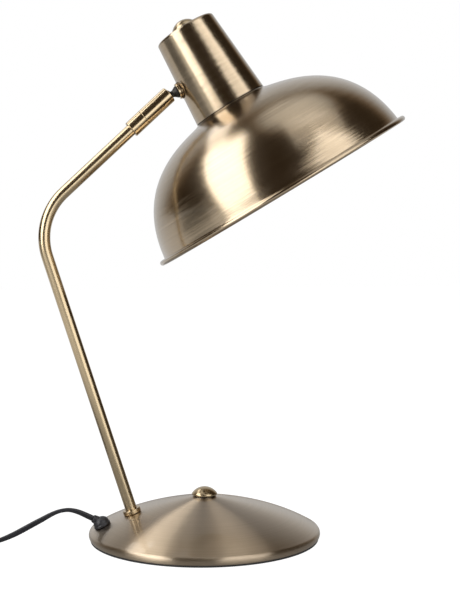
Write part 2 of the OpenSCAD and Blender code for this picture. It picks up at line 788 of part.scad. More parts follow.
// Moulded lampholder body: a flange above the shade and a threaded skirt through it
module holder_body() {
    color(white) in_head() difference() {
        union() {
            translate([0, 0, skirt_s]) cylinder(r = skirt_r, h = skirt_top - skirt_s);
            translate([0, 0, shade_h]) cylinder(r = flange_r, h = flange_t);
        }
        translate([0, 0, skirt_s - 1])
            cylinder(r = shell_r + shell_t, h = shell_top - skirt_s + 1);
        translate([0, 0, shell_top - 1]) cylinder(r = 2.4, h = 10);
    }
}

module holder_shell() {
    color(brass) in_head() translate([0, 0, skirt_s + 6])
        ring(shell_r + shell_t, shell_r, shell_top - skirt_s - 6);
}

// Centre contact, a rivet with a sprung head
module holder_contact() {
    color(brass) in_head() {
        translate([0, 0, bulb_tip]) cylinder(r = 4, h = shell_top - bulb_tip);
        translate([0, 0, bulb_tip]) cylinder(r = 2.4, h = skirt_top - bulb_tip + 1);
    }
}

// Screwed ring that clamps the shade against the lampholder's flange
module shade_ring() {
    color(white) in_head() translate([0, 0, shade_h - shade_wall - ring_t])
        difference() {
            ring(skirt_r + ring_w, skirt_r, ring_t);
            for (a = [0 : 30 : 330]) rotate(a)
                translate([skirt_r + ring_w, 0, -1]) cylinder(r = 1.2, h = ring_t + 2);
        }
}

// Dome of the shade as one smooth curve from the flat top to the flared foot
function bezier(a, b, c, d, t) = pow(1 - t, 3) * a + 3 * pow(1 - t, 2) * t * b
    + 3 * (1 - t) * t * t * c + pow(t, 3) * d;
shade_steps = 28;
shade_top = [shade_top_r, shade_h];
shade_foot = [foot_r, flare_h];
shade_span = shade_foot - shade_top;
shoulder_p = shade_top + [shade_span[0] * 0.045, shade_span[1] * 0.056];
side_p = shade_top + [shade_span[0] * 0.882, shade_span[1] * 0.065];
shade_outline = concat(
    [[skirt_r + hole_gap, shade_h]],
    [for (i = [0 : shade_steps]) bezier(shade_top, shoulder_p, side_p, shade_foot, i / shade_steps)],
    [[foot_r + flare_in * 0.2, flare_h * 0.5], [bead_at, shade_wall / 2]]
);

// Spun dome shade with a rolled rim
module shade() {
    color(brass) in_head() union() {
        spun(shade_outline, shade_wall);
        rotate_extrude() translate([bead_at, 0]) circle(r = bead_r, $fn = 32);
    }
}

// Hollow screw cap of the bulb with its contact tip
module bulb_cap() {
    wall = 0.8;
    color(steel) in_head() rotate_extrude() polygon([
        [bulb_cap_r - wall, bulb_neck_s], [bulb_cap_r, bulb_neck_s], [bulb_cap_r, bulb_tip - 5],
        [bulb_cap_r - 2, bulb_tip - 3.4], [5, bulb_tip - 1.6], [4.4, bulb_tip], [0, bulb_tip],
        [0, bulb_tip - 2.6], [4.4, bulb_tip - 2.6], [bulb_cap_r - 2.4, bulb_tip - 4.2],
        [bulb_cap_r - wall, bulb_tip - 5.4]
    ]);
}

// Opal glass of the bulb, open where the cap closes it
globe_steps = 18;
globe_turn = 148;
glass_outline = concat(
    [[bulb_cap_r, bulb_neck_s], [bulb_cap_r + 0.2, skirt_s + 1]],
    [for (i = [0 : globe_steps]) let (a = globe_turn - 90 - globe_turn * i / globe_steps)
        [bulb_r * cos(a) + (i == globe_steps ? 0.01 : 0), bulb_mid_s + bulb_r * sin(a)]]
);
module bulb_glass() { color(white) in_head() spun(glass_outline, 1); }

// Leads --------------------------------------------------------------------------------------

module lead_stem() { color(black) tube(inner_route, 8, 2 * lead_r, 2 * lead_r); }

module lead_ball() {
    color(black) in_head() at_stud() translate([0, 0, stud_end])
        cylinder(r = lead_r, h = ball_out + ball_r - 1 - stud_end);
}

module lead_head() { color(black) in_head() tube(head_route, 8, 2 * lead_r, 2 * lead_r); }

// Domed bushing clipped through the cover, with a boss on the side where the cord leaves
module cord_gland() {
    flange_h = 2;
    crown = 6.2;
    steps = 10;
    snap_top = -cover_wall - gland_drop;
    color(black) {
        at_gland() rotate_extrude() polygon(concat(
            [[0, snap_top - gland_snap_t], [gland_snap_r, snap_top - gland_snap_t],
                [gland_snap_r, snap_top], [gland_barrel_r, snap_top],
                [gland_barrel_r, gland_lift], [gland_r, gland_lift]],
            [for (i = [0 : steps]) let (a = 90 * i / steps)
                [gland_r * cos(a), flange_h + crown * sin(a)]]
        ));
        translate(gland_p + gland_mid * gland_up) rotate([0, exit_rise - 90, 0])
            cylinder(r = gland_boss_r, h = gland_boss_l);
    }
}

// Cord ----------------------------------------------------------------------------------------

// Centre line of the coil: in on the lower layer, up at the middle, and out on the upper layer
function coil_point(turn) =
    let (half = coil_turns / 2, off = turn - half,
        r = coil_r - coil_pitch * (half - abs(off)),
        climb = max(0, min(1, 0.5 + 2 * off)), a = coil_start - 360 * turn)
    [coil_p[0] + r * cos(a), coil_p[1] + r * sin(a), coil_lie + coil_layer * climb, 0];
coil_route = concat([coil_in], [for (i = [0 : coil_turns * coil_steps]) coil_point(i / coil_steps)],
    [coil_out]);

// Least gap of the coil to itself, measured between the six-sided sections at its points
slant = unit([cord_t, cord_w / 2]);
function section_gap(p, q) =
    let (h = norm([p[0] - q[0], p[1] - q[1]]), v = abs(p[2] - q[2]))
    max(h - cord_w, v - cord_t, slant[0] * (h - cord_w) + slant[1] * v);
coil_gap = min([for (i = [0 : len(coil_route) - 1])
    for (j = [i + coil_steps / 2 : 1 : len(coil_route) - 1])
        section_gap(coil_route[i], coil_route[j])]);
cord_total = route_length(lead_route) + switch_l + route_length(link_route)
    + route_length(coil_route) + route_length(tail_route);
echo(coil_least_gap = coil_gap, coil_length = route_length(coil_route), cord_length = cord_total);

module cord_lead() { color(black) tube(lead_route, 8, cord_w, cord_t); }
module cord_link() { color(black) tube(link_route, 8, cord_w, cord_t); }
module cord_coil() { color(black) tube(coil_route, 6, cord_w, cord_t); }
module cord_tail() { color(black) tube(tail_route, 8, cord_w, cord_t); }

// Cord switch ---------------------------------------------------------------------------------

module at_switch() { translate([switch_x, 0, 0]) children(); }
module switch_block(grow, z0, z1) {
    translate([0, 0, z0]) linear_extrude(z1 - z0)
        round_rect(switch_l + 2 * grow, switch_w + 2 * grow, switch_round + grow);
}

module switch_lower() {
    color(black) at_switch() difference() {
        union() {
            difference() {
                switch_block(0, 0, switch_split);
                switch_block(-switch_wall, switch_wall, switch_split + 1);
            }
            for (x = [-1, 1]) translate([x * switch_screw_x, 0, 0])
                cylinder(r = boss_r, h = switch_split);
        }
        for (x = [-1, 1]) translate([x * switch_screw_x, 0, -1]) {
            cylinder(r = switch_screw_r, h = switch_split + 2);
            cylinder(r = 2.6, h = 3);
        }
    }
}

module switch_upper() {
    roof = switch_h - switch_wall;
    ear_y = rocker_w / 2 + rocker_side_gap;
    color(black) at_switch() difference() {
        union() {
            difference() {
                switch_block(0, switch_split, switch_h);
                switch_block(-switch_wall, switch_split - 1, roof);
                translate([-rocker_l / 2 - rocker_gap, -ear_y, roof - 1])
                    cube([rocker_l + 2 * rocker_gap, 2 * ear_y, switch_wall + 2]);
            }
            for (s = [-1, 1]) translate([-3, s > 0 ? ear_y : -ear_y - ear_t, rocker_z - 3])
                cube([6, ear_t, roof - rocker_z + 3]);
            for (x = [-1, 1]) translate([x * switch_screw_x, 0, switch_split])
                cylinder(r = boss_r, h = roof - switch_split);
        }
        translate([0, 0, rocker_z]) rotate([90, 0, 0])
            cylinder(r = trunnion_r + trunnion_fit, h = 2 * (ear_y + ear_t) + 2, center = true);
        for (x = [-1, 1]) translate([x * switch_screw_x, 0, switch_split - 1])
            cylinder(r = switch_screw_r, h = 4.5);
    }
}

// Rocker with a hollowed top, resting tilted to one side on two trunnions
module switch_rocker() {
    color(iron) at_switch() translate([0, 0, rocker_z]) rotate([0, rocker_tilt, 0]) {
        rotate([90, 0, 0]) linear_extrude(rocker_w, center = true) polygon([
            [-rocker_l / 2, -2.6], [rocker_l / 2, -2.6], [rocker_l / 2, 3.9], [0, 2.7],
            [-rocker_l / 2, 3.9]
        ]);
        rotate([90, 0, 0])
            cylinder(r = trunnion_r, h = rocker_w + 2 * trunnion_l, center = true);
    }
}

module switch_screws() {
    color(steel) at_switch() for (x = [-1, 1]) translate([x * switch_screw_x, 0, 0]) {
        translate([0, 0, 0.5]) cylinder(r = 2.5, h = 1.5);
        translate([0, 0, 0.5]) cylinder(r = switch_screw_r, h = switch_split + 1.5);
    }
}

// Two fixed contact strips on the floor of the lower shell
module switch_contacts() {
    color(brass) at_switch() for (s = [-1, 1])
        translate([s > 0 ? 4 : -18, -2.5, switch_wall]) cube([14, 5, 0.8]);
}

// Plug ----------------------------------------------------------------------------------------

module at_plug() { translate([plug_face, plug_y, plug_mid_z]) rotate([0, 90, 0]) children(); }

// Moulded body: flat sided block, taper and ribbed cord neck
module plug_body() {
    color(black) at_plug() difference() {
        union() {
            translate([0, 0, -plug_l]) linear_extrude(plug_l) round_rect(plug_h, plug_w, 4);
            hull() {
                translate([0, 0, -plug_l - 1]) linear_extrude(1)
                    round_rect(plug_h, plug_w, 4, $fn = 32);
                translate([0, 0, -plug_l - plug_taper_l])
                    cylinder(r = neck_front_r, h = 1, $fn = 32);
            }
            translate([0, 0, -plug_l - plug_taper_l - neck_l])
                cylinder(r1 = neck_back_r, r2 = neck_front_r, h = neck_l);
        }
        for (y = [-1, 1]) translate([0, y * pin_gap / 2, -pin_in])
            cylinder(r = pin_r, h = pin_in + 1);
    }
}

module plug_sleeves() {
    color(black) at_plug() for (y = [-1, 1]) translate([0, y * pin_gap / 2, -pin_in])
        ring(pin_r, sleeve_in_r, pin_in + pin_sleeve_l);
}

module plug_pins() {
    color(steel) at_plug() for (y = [-1, 1]) translate([0, y * pin_gap / 2, 0]) {
        translate([0, 0, -pin_in]) cylinder(r = sleeve_in_r, h = pin_in + pin_sleeve_l);
        translate([0, 0, pin_sleeve_l]) cylinder(r = pin_r, h = pin_l - pin_sleeve_l - 1);
        translate([0, 0, pin_l - 1]) cylinder(r1 = pin_r, r2 = pin_r - 0.8, h = 1);
    }
}

base_cover();
base_weight();
base_plate();
base_screws();
foot_ring();
tie_rod();
tie_nut();
tie_washer();
base_finial();
base_finial_washer();
stem_tube();
stem_collar();
stem_washer();
stem_nut();
cord_gland();
lead_stem();
sleeve_base();
sleeve_cap();
seat_spring();
ball_seat();
ball_stud();
lead_ball();
stud_nut();
stud_washer();
stud_inner_washer();
stud_locknut();
cup();
seam_ring();
cup_finial();
cup_finial_washer();
holder_rod();
rod_nut();
rod_washer();
holder_cap();
holder_body();
holder_shell();
holder_contact();
shade();
shade_ring();
bulb_cap();
bulb_glass();
lead_head();
cord_lead();
cord_link();
cord_coil();
cord_tail();
switch_lower();
switch_upper();
switch_rocker();
switch_screws();
switch_contacts();
plug_body();
plug_sleeves();
plug_pins();
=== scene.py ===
"""Desk lamp with a spun dome shade: its look, piece by piece, in the order of its making."""

from math import asin, atan, cos, hypot, pi, radians, sin, sqrt, tan

import bmesh
import bpy
from mathutils import Matrix, Vector


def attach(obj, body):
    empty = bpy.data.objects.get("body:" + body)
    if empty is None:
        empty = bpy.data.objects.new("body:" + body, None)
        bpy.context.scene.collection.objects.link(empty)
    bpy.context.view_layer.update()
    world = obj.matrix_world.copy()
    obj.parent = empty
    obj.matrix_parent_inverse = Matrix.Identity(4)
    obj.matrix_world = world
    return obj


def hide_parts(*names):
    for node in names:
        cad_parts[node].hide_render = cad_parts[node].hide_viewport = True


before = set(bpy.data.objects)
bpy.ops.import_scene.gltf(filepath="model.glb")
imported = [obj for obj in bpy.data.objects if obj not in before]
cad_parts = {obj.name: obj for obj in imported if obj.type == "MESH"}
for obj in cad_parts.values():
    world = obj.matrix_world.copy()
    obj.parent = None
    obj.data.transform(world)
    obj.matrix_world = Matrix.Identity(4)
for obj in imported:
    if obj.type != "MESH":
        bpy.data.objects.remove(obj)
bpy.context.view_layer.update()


# Viewpoint: a camera a metre in front of the lamp and a little above its middle. Its place was found
# from the ellipses of the base and of the rim.
view_from = (-0.1493, -0.9991, 0.2521)
view_ahead = Vector((0.1696, 0.9845, -0.0453)).normalized()
view_right = view_ahead.cross(Vector((0.0098, 0.0443, 0.9990))).normalized()
view_up = view_right.cross(view_ahead)
lens = bpy.data.cameras.new("viewpoint")
lens.sensor_fit, lens.sensor_height, lens.lens = "VERTICAL", 36, 70.353
viewpoint = bpy.data.objects.new("viewpoint", lens)
viewpoint.matrix_world = Matrix.Translation(view_from) @ Matrix(
    (view_right, view_up, -view_ahead)).transposed().to_4x4()
bpy.context.collection.objects.link(viewpoint)
bpy.context.scene.camera = viewpoint
bpy.context.scene.view_settings.view_transform = "Standard"


# Supply cord: two stranded cores side by side in one black PVC jacket, 5.2 by 3.2 mm, extruded as a
# figure of eight. One length arches from the gland to the switch, the other is coiled up to the plug.
cord_wide, cord_thick, lobe_steps = 5.2, 3.2, 6
lobe_out = (cord_wide - cord_thick) / 2
waist = sqrt(cord_thick ** 2 / 4 - lobe_out ** 2)
lobe_turn = pi - atan(waist / lobe_out)
jacket = [(lobe_out + cord_thick / 2 * cos(lobe_turn * k / lobe_steps),
           cord_thick / 2 * sin(lobe_turn * k / lobe_steps)) for k in range(-lobe_steps, lobe_steps + 1)]
jacket += [(-u, -v) for u, v in jacket[1:-1]]


def sway(route, between):
    """The smooth line through a route's given points of x, y, z and roll."""
    line = []
    for i in range(len(route) - 1):
        a, b = Vector(route[max(i - 1, 0)]), Vector(route[i])
        c, d = Vector(route[i + 1]), Vector(route[min(i + 2, len(route) - 1)])
        for k in range(between):
            t = k / between
            line.append(0.5 * (2 * b + t * (c - a) + t * t * (2 * a - 5 * b + 4 * c - d)
                               + t ** 3 * (3 * b - a - 3 * c + d)))
    return line + [Vector(route[-1])]


def make_piece(name, bm, place=Matrix(), crease=34):
    """A finished mesh, drawn in millimetres, as an object in its place in the lamp."""
    bm.transform(place @ Matrix.Scale(0.001, 4))
    for face in bm.faces:
        face.smooth = True
    mesh = bpy.data.meshes.new(name)
    bm.to_mesh(mesh)
    bm.free()
    mesh.set_sharp_from_angle(angle=radians(crease))
    piece = bpy.data.objects.new(name, mesh)
    bpy.context.collection.objects.link(piece)
    return piece


def lay_cord(name, route, between):
    """The jacket drawn along a route, and the line that it follows, in metres."""
    line = sway(route, between)
    bm = bmesh.new()
    run, runs, rings = 0, [], []
    for i, point in enumerate(line):
        here = point.xyz
        run += (here - line[max(i - 1, 0)].xyz).length
        runs.append(run)
        ahead = (line[min(i + 1, len(line) - 1)].xyz - line[max(i - 1, 0)].xyz).normalized()
        side = Vector((0, 0, 1)).cross(ahead).normalized()
        over = ahead.cross(side)
        c, s = cos(radians(point.w)), sin(radians(point.w))
        ring = [bm.verts.new(here + (u * c - v * s) * side + (u * s + v * c) * over)
                for u, v in jacket]
        rings.append([bm.edges.new(pair) for pair in zip(ring, ring[1:] + ring[:1])])
    for pair in zip(rings, rings[1:]):
        bmesh.ops.bridge_loops(bm, edges=pair[0] + pair[1])
    bmesh.ops.recalc_face_normals(bm, faces=bm.faces)
    bmesh.ops.holes_fill(bm, edges=[e for e in bm.edges if e.is_boundary], sides=0)
    bm.verts.index_update()
    unrolled = bm.loops.layers.uv.new("jacket")
    for face in bm.faces:
        corners = [divmod(loop.vert.index, len(jacket)) for loop in face.loops]
        seam = {k for _, k in corners} >= {0, len(jacket) - 1} and len(corners) < 5
        for loop, (i, k) in zip(face.loops, corners):
            loop[unrolled].uv = ((k + len(jacket) * (seam and k == 0)) / len(jacket), runs[i] / 1000)
    return make_piece(name, bm, crease=60), [point.xyz / 1000 for point in line]


class Reading:
    """A number that a finish reads at each point of a surface. Sums with it add Math nodes."""

    def __init__(self, finish, socket):
        self.finish, self.socket = finish, socket

    def maths(self, operation, other):
        return self.finish.node("Math", {"operation": operation}, {0: self, 1: other})

    def __add__(self, other):
        return self.maths("ADD", other)

    def __sub__(self, other):
        return self.maths("SUBTRACT", other)

    def __rsub__(self, other):
        return self.finish.node("Math", {"operation": "SUBTRACT"}, {0: other, 1: self})

    def __mul__(self, other):
        return self.maths("MULTIPLY", other)

    def __truediv__(self, other):
        return self.maths("DIVIDE", other)

    def __pow__(self, other):
        return self.maths("POWER", other)

    def at_least(self, other):
        return self.maths("MAXIMUM", other)

    __radd__ = __add__
    __rmul__ = __mul__


class Finish:
    """The surface finish of a piece: one material, made node by node."""

    def __init__(self, name, owner=None):
        self.material = owner or bpy.data.materials.new(name)
        self.material.use_nodes = True
        self.tree = self.material.node_tree
        self.shader = next((n for n in self.tree.nodes if n.type == "BSDF_PRINCIPLED"), None)
        self.end = next(n for n in self.tree.nodes if n.type.startswith("OUTPUT"))

    def node(self, kind, settings=None, inputs=None, out=0):
        """Adds a node: its settings first, then what its sockets read, and what comes out of it."""
        made = self.tree.nodes.new("ShaderNode" + kind)
        for name, value in (settings or {}).items():
            setattr(made, name, value)
        for name, value in (inputs or {}).items():
            self.feed(made, name, value)
        if isinstance(out, tuple):
            return [Reading(self, made.outputs[name]) for name in out]
        return Reading(self, made.outputs[out])

    def feed(self, node, name, value):
        """Links a reading to a node's socket, or sets the socket to a plain value."""
        if isinstance(value, Reading):
            self.tree.links.new(value.socket, node.inputs[name])
        else:
            node.inputs[name].default_value = value

    def wear(self, **sockets):
        """Feeds the shader's sockets and gives the finished material."""
        for name, value in sockets.items():
            self.feed(self.shader, name.replace("_", " "), value)
        return self.material

    def here(self):
        """The point of the lamp that is being shaded, in metres."""
        return self.node("TexCoord", out="Object")

    def cloud(self, at, scale, detail=2.0, rough=0.5):
        """Soft noise around one half, with that many patches to the metre."""
        return self.node("TexNoise", {}, {"Vector": at, "Scale": scale, "Detail": detail,
                                          "Roughness": rough})

    def eased(self, value, low, high, start, stop):
        """A reading that goes gently from start to stop while the value goes from low to high."""
        return self.node("MapRange", {"interpolation_type": "SMOOTHSTEP"}, {
            "Value": value, "From Min": low, "From Max": high, "To Min": start, "To Max": stop})

    def blend(self, amount, first, second):
        """The first colour where the amount is 0, and the second where it is 1."""
        return self.node("Mix", {"data_type": "RGBA"}, {0: amount, 6: first, 7: second}, 2)

    def relief(self, height, depth):
        """Fine unevenness, that many metres deep."""
        return self.node("Bump", {}, {"Height": height, "Distance": depth, "Strength": 1.0})


def moulded(name, dark, light, rough, grain=2600.0, depth=0.00003, **more):
    """Moulded or extruded plastic and rubber: a fine satin grain, a faint cloudiness and rubbed
    patches."""
    finish = Finish(name)
    at = finish.here()
    patch = finish.cloud(at, 60.0, 3.0)
    fine = finish.cloud(at, grain, 1.0)
    return finish.wear(
        Base_Color=finish.blend(patch, dark, light),
        Roughness=rough - 0.08 + 0.16 * patch + 0.05 * fine,
        Normal=finish.relief(fine + 0.6 * patch, depth), **more)


def dress(name, material):
    """Gives a solid from the drawing its finish."""
    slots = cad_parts[name].material_slots
    if not slots:
        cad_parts[name].data.materials.append(material)
    for slot in slots:
        slot.material = material


jacket_pvc = Finish("jacket_pvc")
unrolled = jacket_pvc.node("UVMap", {"uv_map": "jacket"})
drawn = jacket_pvc.cloud(jacket_pvc.node("Mapping", {}, {"Vector": unrolled, "Scale": (60, 40, 1)}), 1.0)
dust = jacket_pvc.cloud(jacket_pvc.here(), 45.0, 3.0)
satin = jacket_pvc.cloud(jacket_pvc.here(), 2400.0)
jacket_pvc = jacket_pvc.wear(
    Base_Color=jacket_pvc.blend(dust, (0.006, 0.0065, 0.009, 1), (0.018, 0.019, 0.026, 1)),
    Roughness=0.30 + 0.12 * dust + 0.08 * drawn,
    Normal=jacket_pvc.relief(drawn + 0.4 * satin, 0.00004))

gland_place = Matrix.Translation((-0.0883, 0, 0.013717)) @ Matrix.Rotation(radians(-26), 4, "Y")
boss_root, boss_long, boss_rise = gland_place @ Vector((0, 0, 0.0035)), 7.6, radians(27)
cord_near, near_line = lay_cord("cord_near", [
    (-96.606, 0, 20.313, 70), (-101.061, 0, 22.583, 64), (-109, 0, 26.4, 45), (-117, 0, 28.4, 24),
    (-125, 0, 27.6, 20), (-132, 0, 25, 34), (-139, 0, 21.4, 52), (-147, 0, 17.4, 66),
    (-155, 0, 13.3, 70), (-163, 0, 9.4, 60), (-171, 0, 6.2, 44), (-179, 0, 3.8, 26),
    (-187, 0, 2.4, 10), (-195, 0, 1.9, 0), (-203, 0, 2.4, 0), (-210, 0, 3.7, 0),
    (-216, 0, 4.8, 0), (-222, 0, 5, 0)], 4)
coil_turns, coil_steps, coil_r, coil_pitch = 8.25, 24, 41, 5.8
coil_x, coil_y, first_layer, layer_rise = -279, 62, 1.7, 3.7


def coil_point(turn):
    """The coil spirals in on the floor, climbs at its middle and spirals out on top of itself."""
    off = turn - coil_turns / 2
    r = coil_r - coil_pitch * (coil_turns / 2 - abs(off))
    return (coil_x - r * cos(2 * pi * turn), coil_y + r * sin(2 * pi * turn),
            first_layer + layer_rise * max(0, min(1, 0.5 + 2 * off)), 0)


cord_far, far_line = lay_cord("cord_far", [
    (-284, 0, 5, 0), (-290, 0, 4.4, 0), (-297, 0.4, 3, 0), (-304, 2.8, 2.2, 0), (-310.5, 7, 1.9, 0),
    (-315.7, 12.8, 1.8, 0), (-319, 19.6, 1.7, 0), (-320, 27, 1.7, 0), (-320, 37, 1.7, 0),
    (-320, 47, 1.7, 0), (-320, 56.8, 1.7, 0)
] + [coil_point(i / coil_steps) for i in range(int(coil_turns * coil_steps) + 1)] + [
    (-273.8, 103, 5.4, 0), (-267, 103, 5.5, 0), (-261, 103, 6.2, 0), (-256, 103, 6.7, 0),
    (-250, 103, 6.8, 0)], 2)
for length_of_cord, stretches in (cord_near, ["cord_lead"]), (
        cord_far, ["cord_link", "cord_coil", "cord_tail"]):
    length_of_cord.data.materials.append(jacket_pvc)
    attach(length_of_cord, "base")
    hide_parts(*stretches)


# Cord switch: two moulded black shells, screwed together from below round the cord, with a rocker
# that snaps between two positions on its trunnions. Brass contact strips lie on the lower shell.
black_plastic = moulded("black_plastic", (0.012, 0.012, 0.013, 1), (0.03, 0.03, 0.032, 1), 0.42)
switch_place = Matrix.Translation((-0.253, 0, 0))
switch_long, switch_wide, switch_joint, switch_high = 62, 24, 5.5, 13
well_long, well_wide, well_deep = 20.6, 11.6, 7.1
slack = 0.01


def soften(bm, geom, size, steps, affect="EDGES"):
    """Rounds edges of a mesh, or corners of an outline."""
    bmesh.ops.bevel(bm, geom=geom, offset=size, offset_type="OFFSET", segments=steps, profile=0.5,
                    affect=affect, material=-1)


def draw_out(bm, face, shift):
    """Draws one face on to a new place, with walls behind it. The old face stays."""
    grown = bmesh.ops.extrude_face_region(bm, geom=[face])["geom"]
    bmesh.ops.translate(bm, vec=shift, verts=[v for v in grown if isinstance(v, bmesh.types.BMVert)])


def switch_shell(joint, outside, soft):
    """One half of the case: a block with round corners, a soft outer edge and a crisp joint."""
    bm = bmesh.new()
    bmesh.ops.create_cube(bm, size=1, matrix=Matrix.Translation((0, 0, (joint + outside) / 2))
                          @ Matrix.Diagonal((switch_long, switch_wide, abs(outside - joint), 1)))
    for chosen, size, steps in (
            (lambda e: e.verts[0].co.xy == e.verts[1].co.xy, 6, 9),
            (lambda e: all(abs(v.co.z - outside) < slack for v in e.verts), soft, 5),
            (lambda e: all(abs(v.co.z - joint) < slack for v in e.verts), 0.3, 2)):
        soften(bm, [e for e in bm.edges if chosen(e)], size, steps)
    return bm


switch_base = make_piece("switch_base", switch_shell(switch_joint, 0, 0.8), switch_place)
upper = switch_shell(switch_joint, switch_high, 2.2)
for across, way in (well_long / 2, (1, 0, 0)), (well_wide / 2, (0, 1, 0)):
    for side in (-1, 1):
        bmesh.ops.bisect_plane(upper, geom=upper.verts[:] + upper.edges[:] + upper.faces[:],
                               plane_co=side * across * Vector(way), plane_no=way)
window = min(upper.faces, key=lambda f: (f.calc_center_median() - Vector((0, 0, switch_high))).length)
draw_out(upper, window, (0, 0, -well_deep))
bmesh.ops.delete(upper, geom=[window], context="FACES_ONLY")
soften(upper, [e for e in upper.edges if all(
    abs(v.co.z - switch_high) < slack and abs(v.co.x) < well_long / 2 + slack
    and abs(v.co.y) < well_wide / 2 + slack for v in e.verts)], 0.4, 3)
switch_case = make_piece("switch_case", upper, switch_place)
rocker = bmesh.new()
crest = [(9.5 - 19 * k / 12, 2.75 + 1.15 * (1 - k / 6) ** 2) for k in range(13)]
side_face = rocker.faces.new([rocker.verts.new((x, -5.5, z))
                              for x, z in [(-9.5, -2.6), (9.5, -2.6)] + crest])
draw_out(rocker, side_face, (0, 11, 0))
bmesh.ops.recalc_face_normals(rocker, faces=rocker.faces)
soften(rocker, [e for e in rocker.edges if e.calc_face_angle(0) > 0.6], 0.5, 3)
switch_key = make_piece("switch_key", rocker, Matrix.Translation((-0.253, 0, 0.0102))
                        @ Matrix.Rotation(radians(8), 4, "Y"))
key_plastic = moulded("key_plastic", (0.02, 0.02, 0.021, 1), (0.045, 0.045, 0.047, 1), 0.34)
for piece, node, body in ((switch_base, "switch_lower", "base"), (switch_case, "switch_upper", "base"),
                          (switch_key, "switch_rocker", "rocker")):
    piece.data.materials.append(key_plastic if body == "rocker" else black_plastic)
    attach(piece, body)
    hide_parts(node)


# Plug: moulded in black round its two pins, with flat faces, a taper and a ribbed neck that keeps
# the cord from kinking. The pins are plated, and sleeved in black for half their length.
def grip_ring(bm, z, half_h, half_w, corner):
    """One closed section of the plug, square to the pins, as its loop of edges."""
    ring = []
    for k in range(40):
        turn = 2 * pi * (k + 0.5) / 40
        ring.append(bm.verts.new((
            (half_h - corner) * (1 if cos(turn) > 0 else -1) + corner * cos(turn),
            (half_w - corner) * (1 if sin(turn) > 0 else -1) + corner * sin(turn), z)))
    return [bm.edges.new(pair) for pair in zip(ring, ring[1:] + ring[:1])]


sections = [(0, 5.9, 16.6, 3.1), (-0.3, 6.5, 17.2, 3.7), (-1.0, 6.8, 17.5, 4)]
for k in range(49):
    cut = k % 4 in (1, 2)
    if k % 8 < 4:
        sections.append((-8 - 0.25 * k, 6.8 - 0.35 * cut, 17.5 - 0.6 * cut, 3.6))
for k in range(9):
    ease = (1 - cos(pi * k / 8)) / 2
    sections.append((-26 - 10 * k / 8, 6.8 - 2 * ease, 17.5 - 12.7 * ease, 4 + 0.75 * ease))
for k in range(1, 25):
    slim = 4.75 - 1.15 * k / 24
    groove = 0.7 * (k % 6 in (2, 3)) * (k < 23)
    sections.append((-36 - 14 * k / 24, slim - groove, slim - groove, slim - groove - 0.01))
grip = bmesh.new()
grip_rings = [grip_ring(grip, *section) for section in sections]
for pair in zip(grip_rings, grip_rings[1:]):
    bmesh.ops.bridge_loops(grip, edges=pair[0] + pair[1])
bmesh.ops.holes_fill(grip, edges=[e for e in grip.edges if e.is_boundary], sides=0)
bmesh.ops.recalc_face_normals(grip, faces=grip.faces)
plug_place = Matrix.Translation((-0.2, 0.103, 0.0068)) @ Matrix.Rotation(radians(90), 4, "Y")
plug_grip = make_piece("plug_grip", grip, plug_place)
plug_grip.data.materials.append(black_plastic)
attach(plug_grip, "base")
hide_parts("plug_body")
dress("plug_sleeves", moulded("pin_sleeve", (0.014, 0.014, 0.015, 1), (0.026, 0.026, 0.028, 1), 0.3))


def plated(name, dark, light, rough):
    """Zinc or nickel plate on steel, with a cloudy tarnish and fine scratches."""
    finish = Finish(name)
    at = finish.here()
    tarnish = finish.cloud(at, 120.0, 4.0)
    scratch = finish.cloud(finish.node("Mapping", {}, {
        "Vector": at, "Scale": (4000, 300, 900), "Rotation": (0.3, 0.2, 0.5)}), 1.0, 3.0)
    return finish.wear(Base_Color=finish.blend(tarnish, dark, light), Metallic=1.0,
                       Roughness=rough - 0.1 + 0.2 * tarnish + 0.08 * scratch,
                       Normal=finish.relief(scratch, 0.00001))


steel = plated("steel", (0.36, 0.36, 0.35, 1), (0.66, 0.66, 0.64, 1), 0.32)
for part in "plug_pins", "switch_screws":
    dress(part, steel)


# Studio: a plain pale floor, a surround that metal sees pale behind the lamp and overhead and dark
# elsewhere, and four soft lights: tall ones left and right of the camera, one behind and one above.
floor_mesh = bmesh.new()
bmesh.ops.create_grid(floor_mesh, x_segments=8, y_segments=8, size=6000)
floor = make_piece("floor", floor_mesh)
floor_paint = Finish("floor_paint")
watched, mirrored, through = floor_paint.node("LightPath", out=(
    "Is Camera Ray", "Is Glossy Ray", "Is Transmission Ray"))
seen = watched.at_least(mirrored).at_least(through)
grain = floor_paint.cloud(floor_paint.here(), 9.0, 3.0)
floor_paint.wear(Base_Color=floor_paint.blend(grain, (0.80, 0.80, 0.80, 1), (0.84, 0.84, 0.84, 1)),
                 Roughness=0.8)


def shaded(middle, reach, near, far, most):
    """Painted shade on the floor's glow round one spot, which only metal sees: from most at the spot to
    nothing.
    """
    spread = floor_paint.node("Mapping", {}, {
        "Vector": floor_paint.here(), "Location": (-middle[0], -middle[1] * reach, 0),
        "Scale": (1, reach, 1)})
    away = floor_paint.node("VectorMath", {"operation": "LENGTH"}, {0: spread}, "Value")
    return floor_paint.eased(away, near, far, most, 0.0)


# Painted shade in the floor's glow, which only metal sees: everywhere at least four tenths darker, darker
# still in a dim zone far to the left, and a painted shadow round the lamp under its head.
floor_white, glow_share, least_unlit = 1.21, 0.8, 0.4
painted_shade_beside = shaded((-2.2, 0.1), 2.4, 1.2, 1.75, 0.95)
painted_shadow_under_head = shaded((0.35, 0.15), 1, 0.6, 1.1, 0.8)
unlit = painted_shade_beside.at_least(painted_shadow_under_head).at_least(least_unlit)
glow = floor_paint.node("Emission", {}, {"Strength": floor_white, "Color": floor_paint.blend(
    mirrored * unlit, (1, 1, 1, 1), (0, 0, 0, 1))})
covered = floor_paint.node("MixShader", {}, {
    0: seen * glow_share, 1: Reading(floor_paint, floor_paint.shader.outputs[0]), 2: glow})
floor_paint.feed(floor_paint.end, "Surface", covered)
floor.data.materials.append(floor_paint.material)

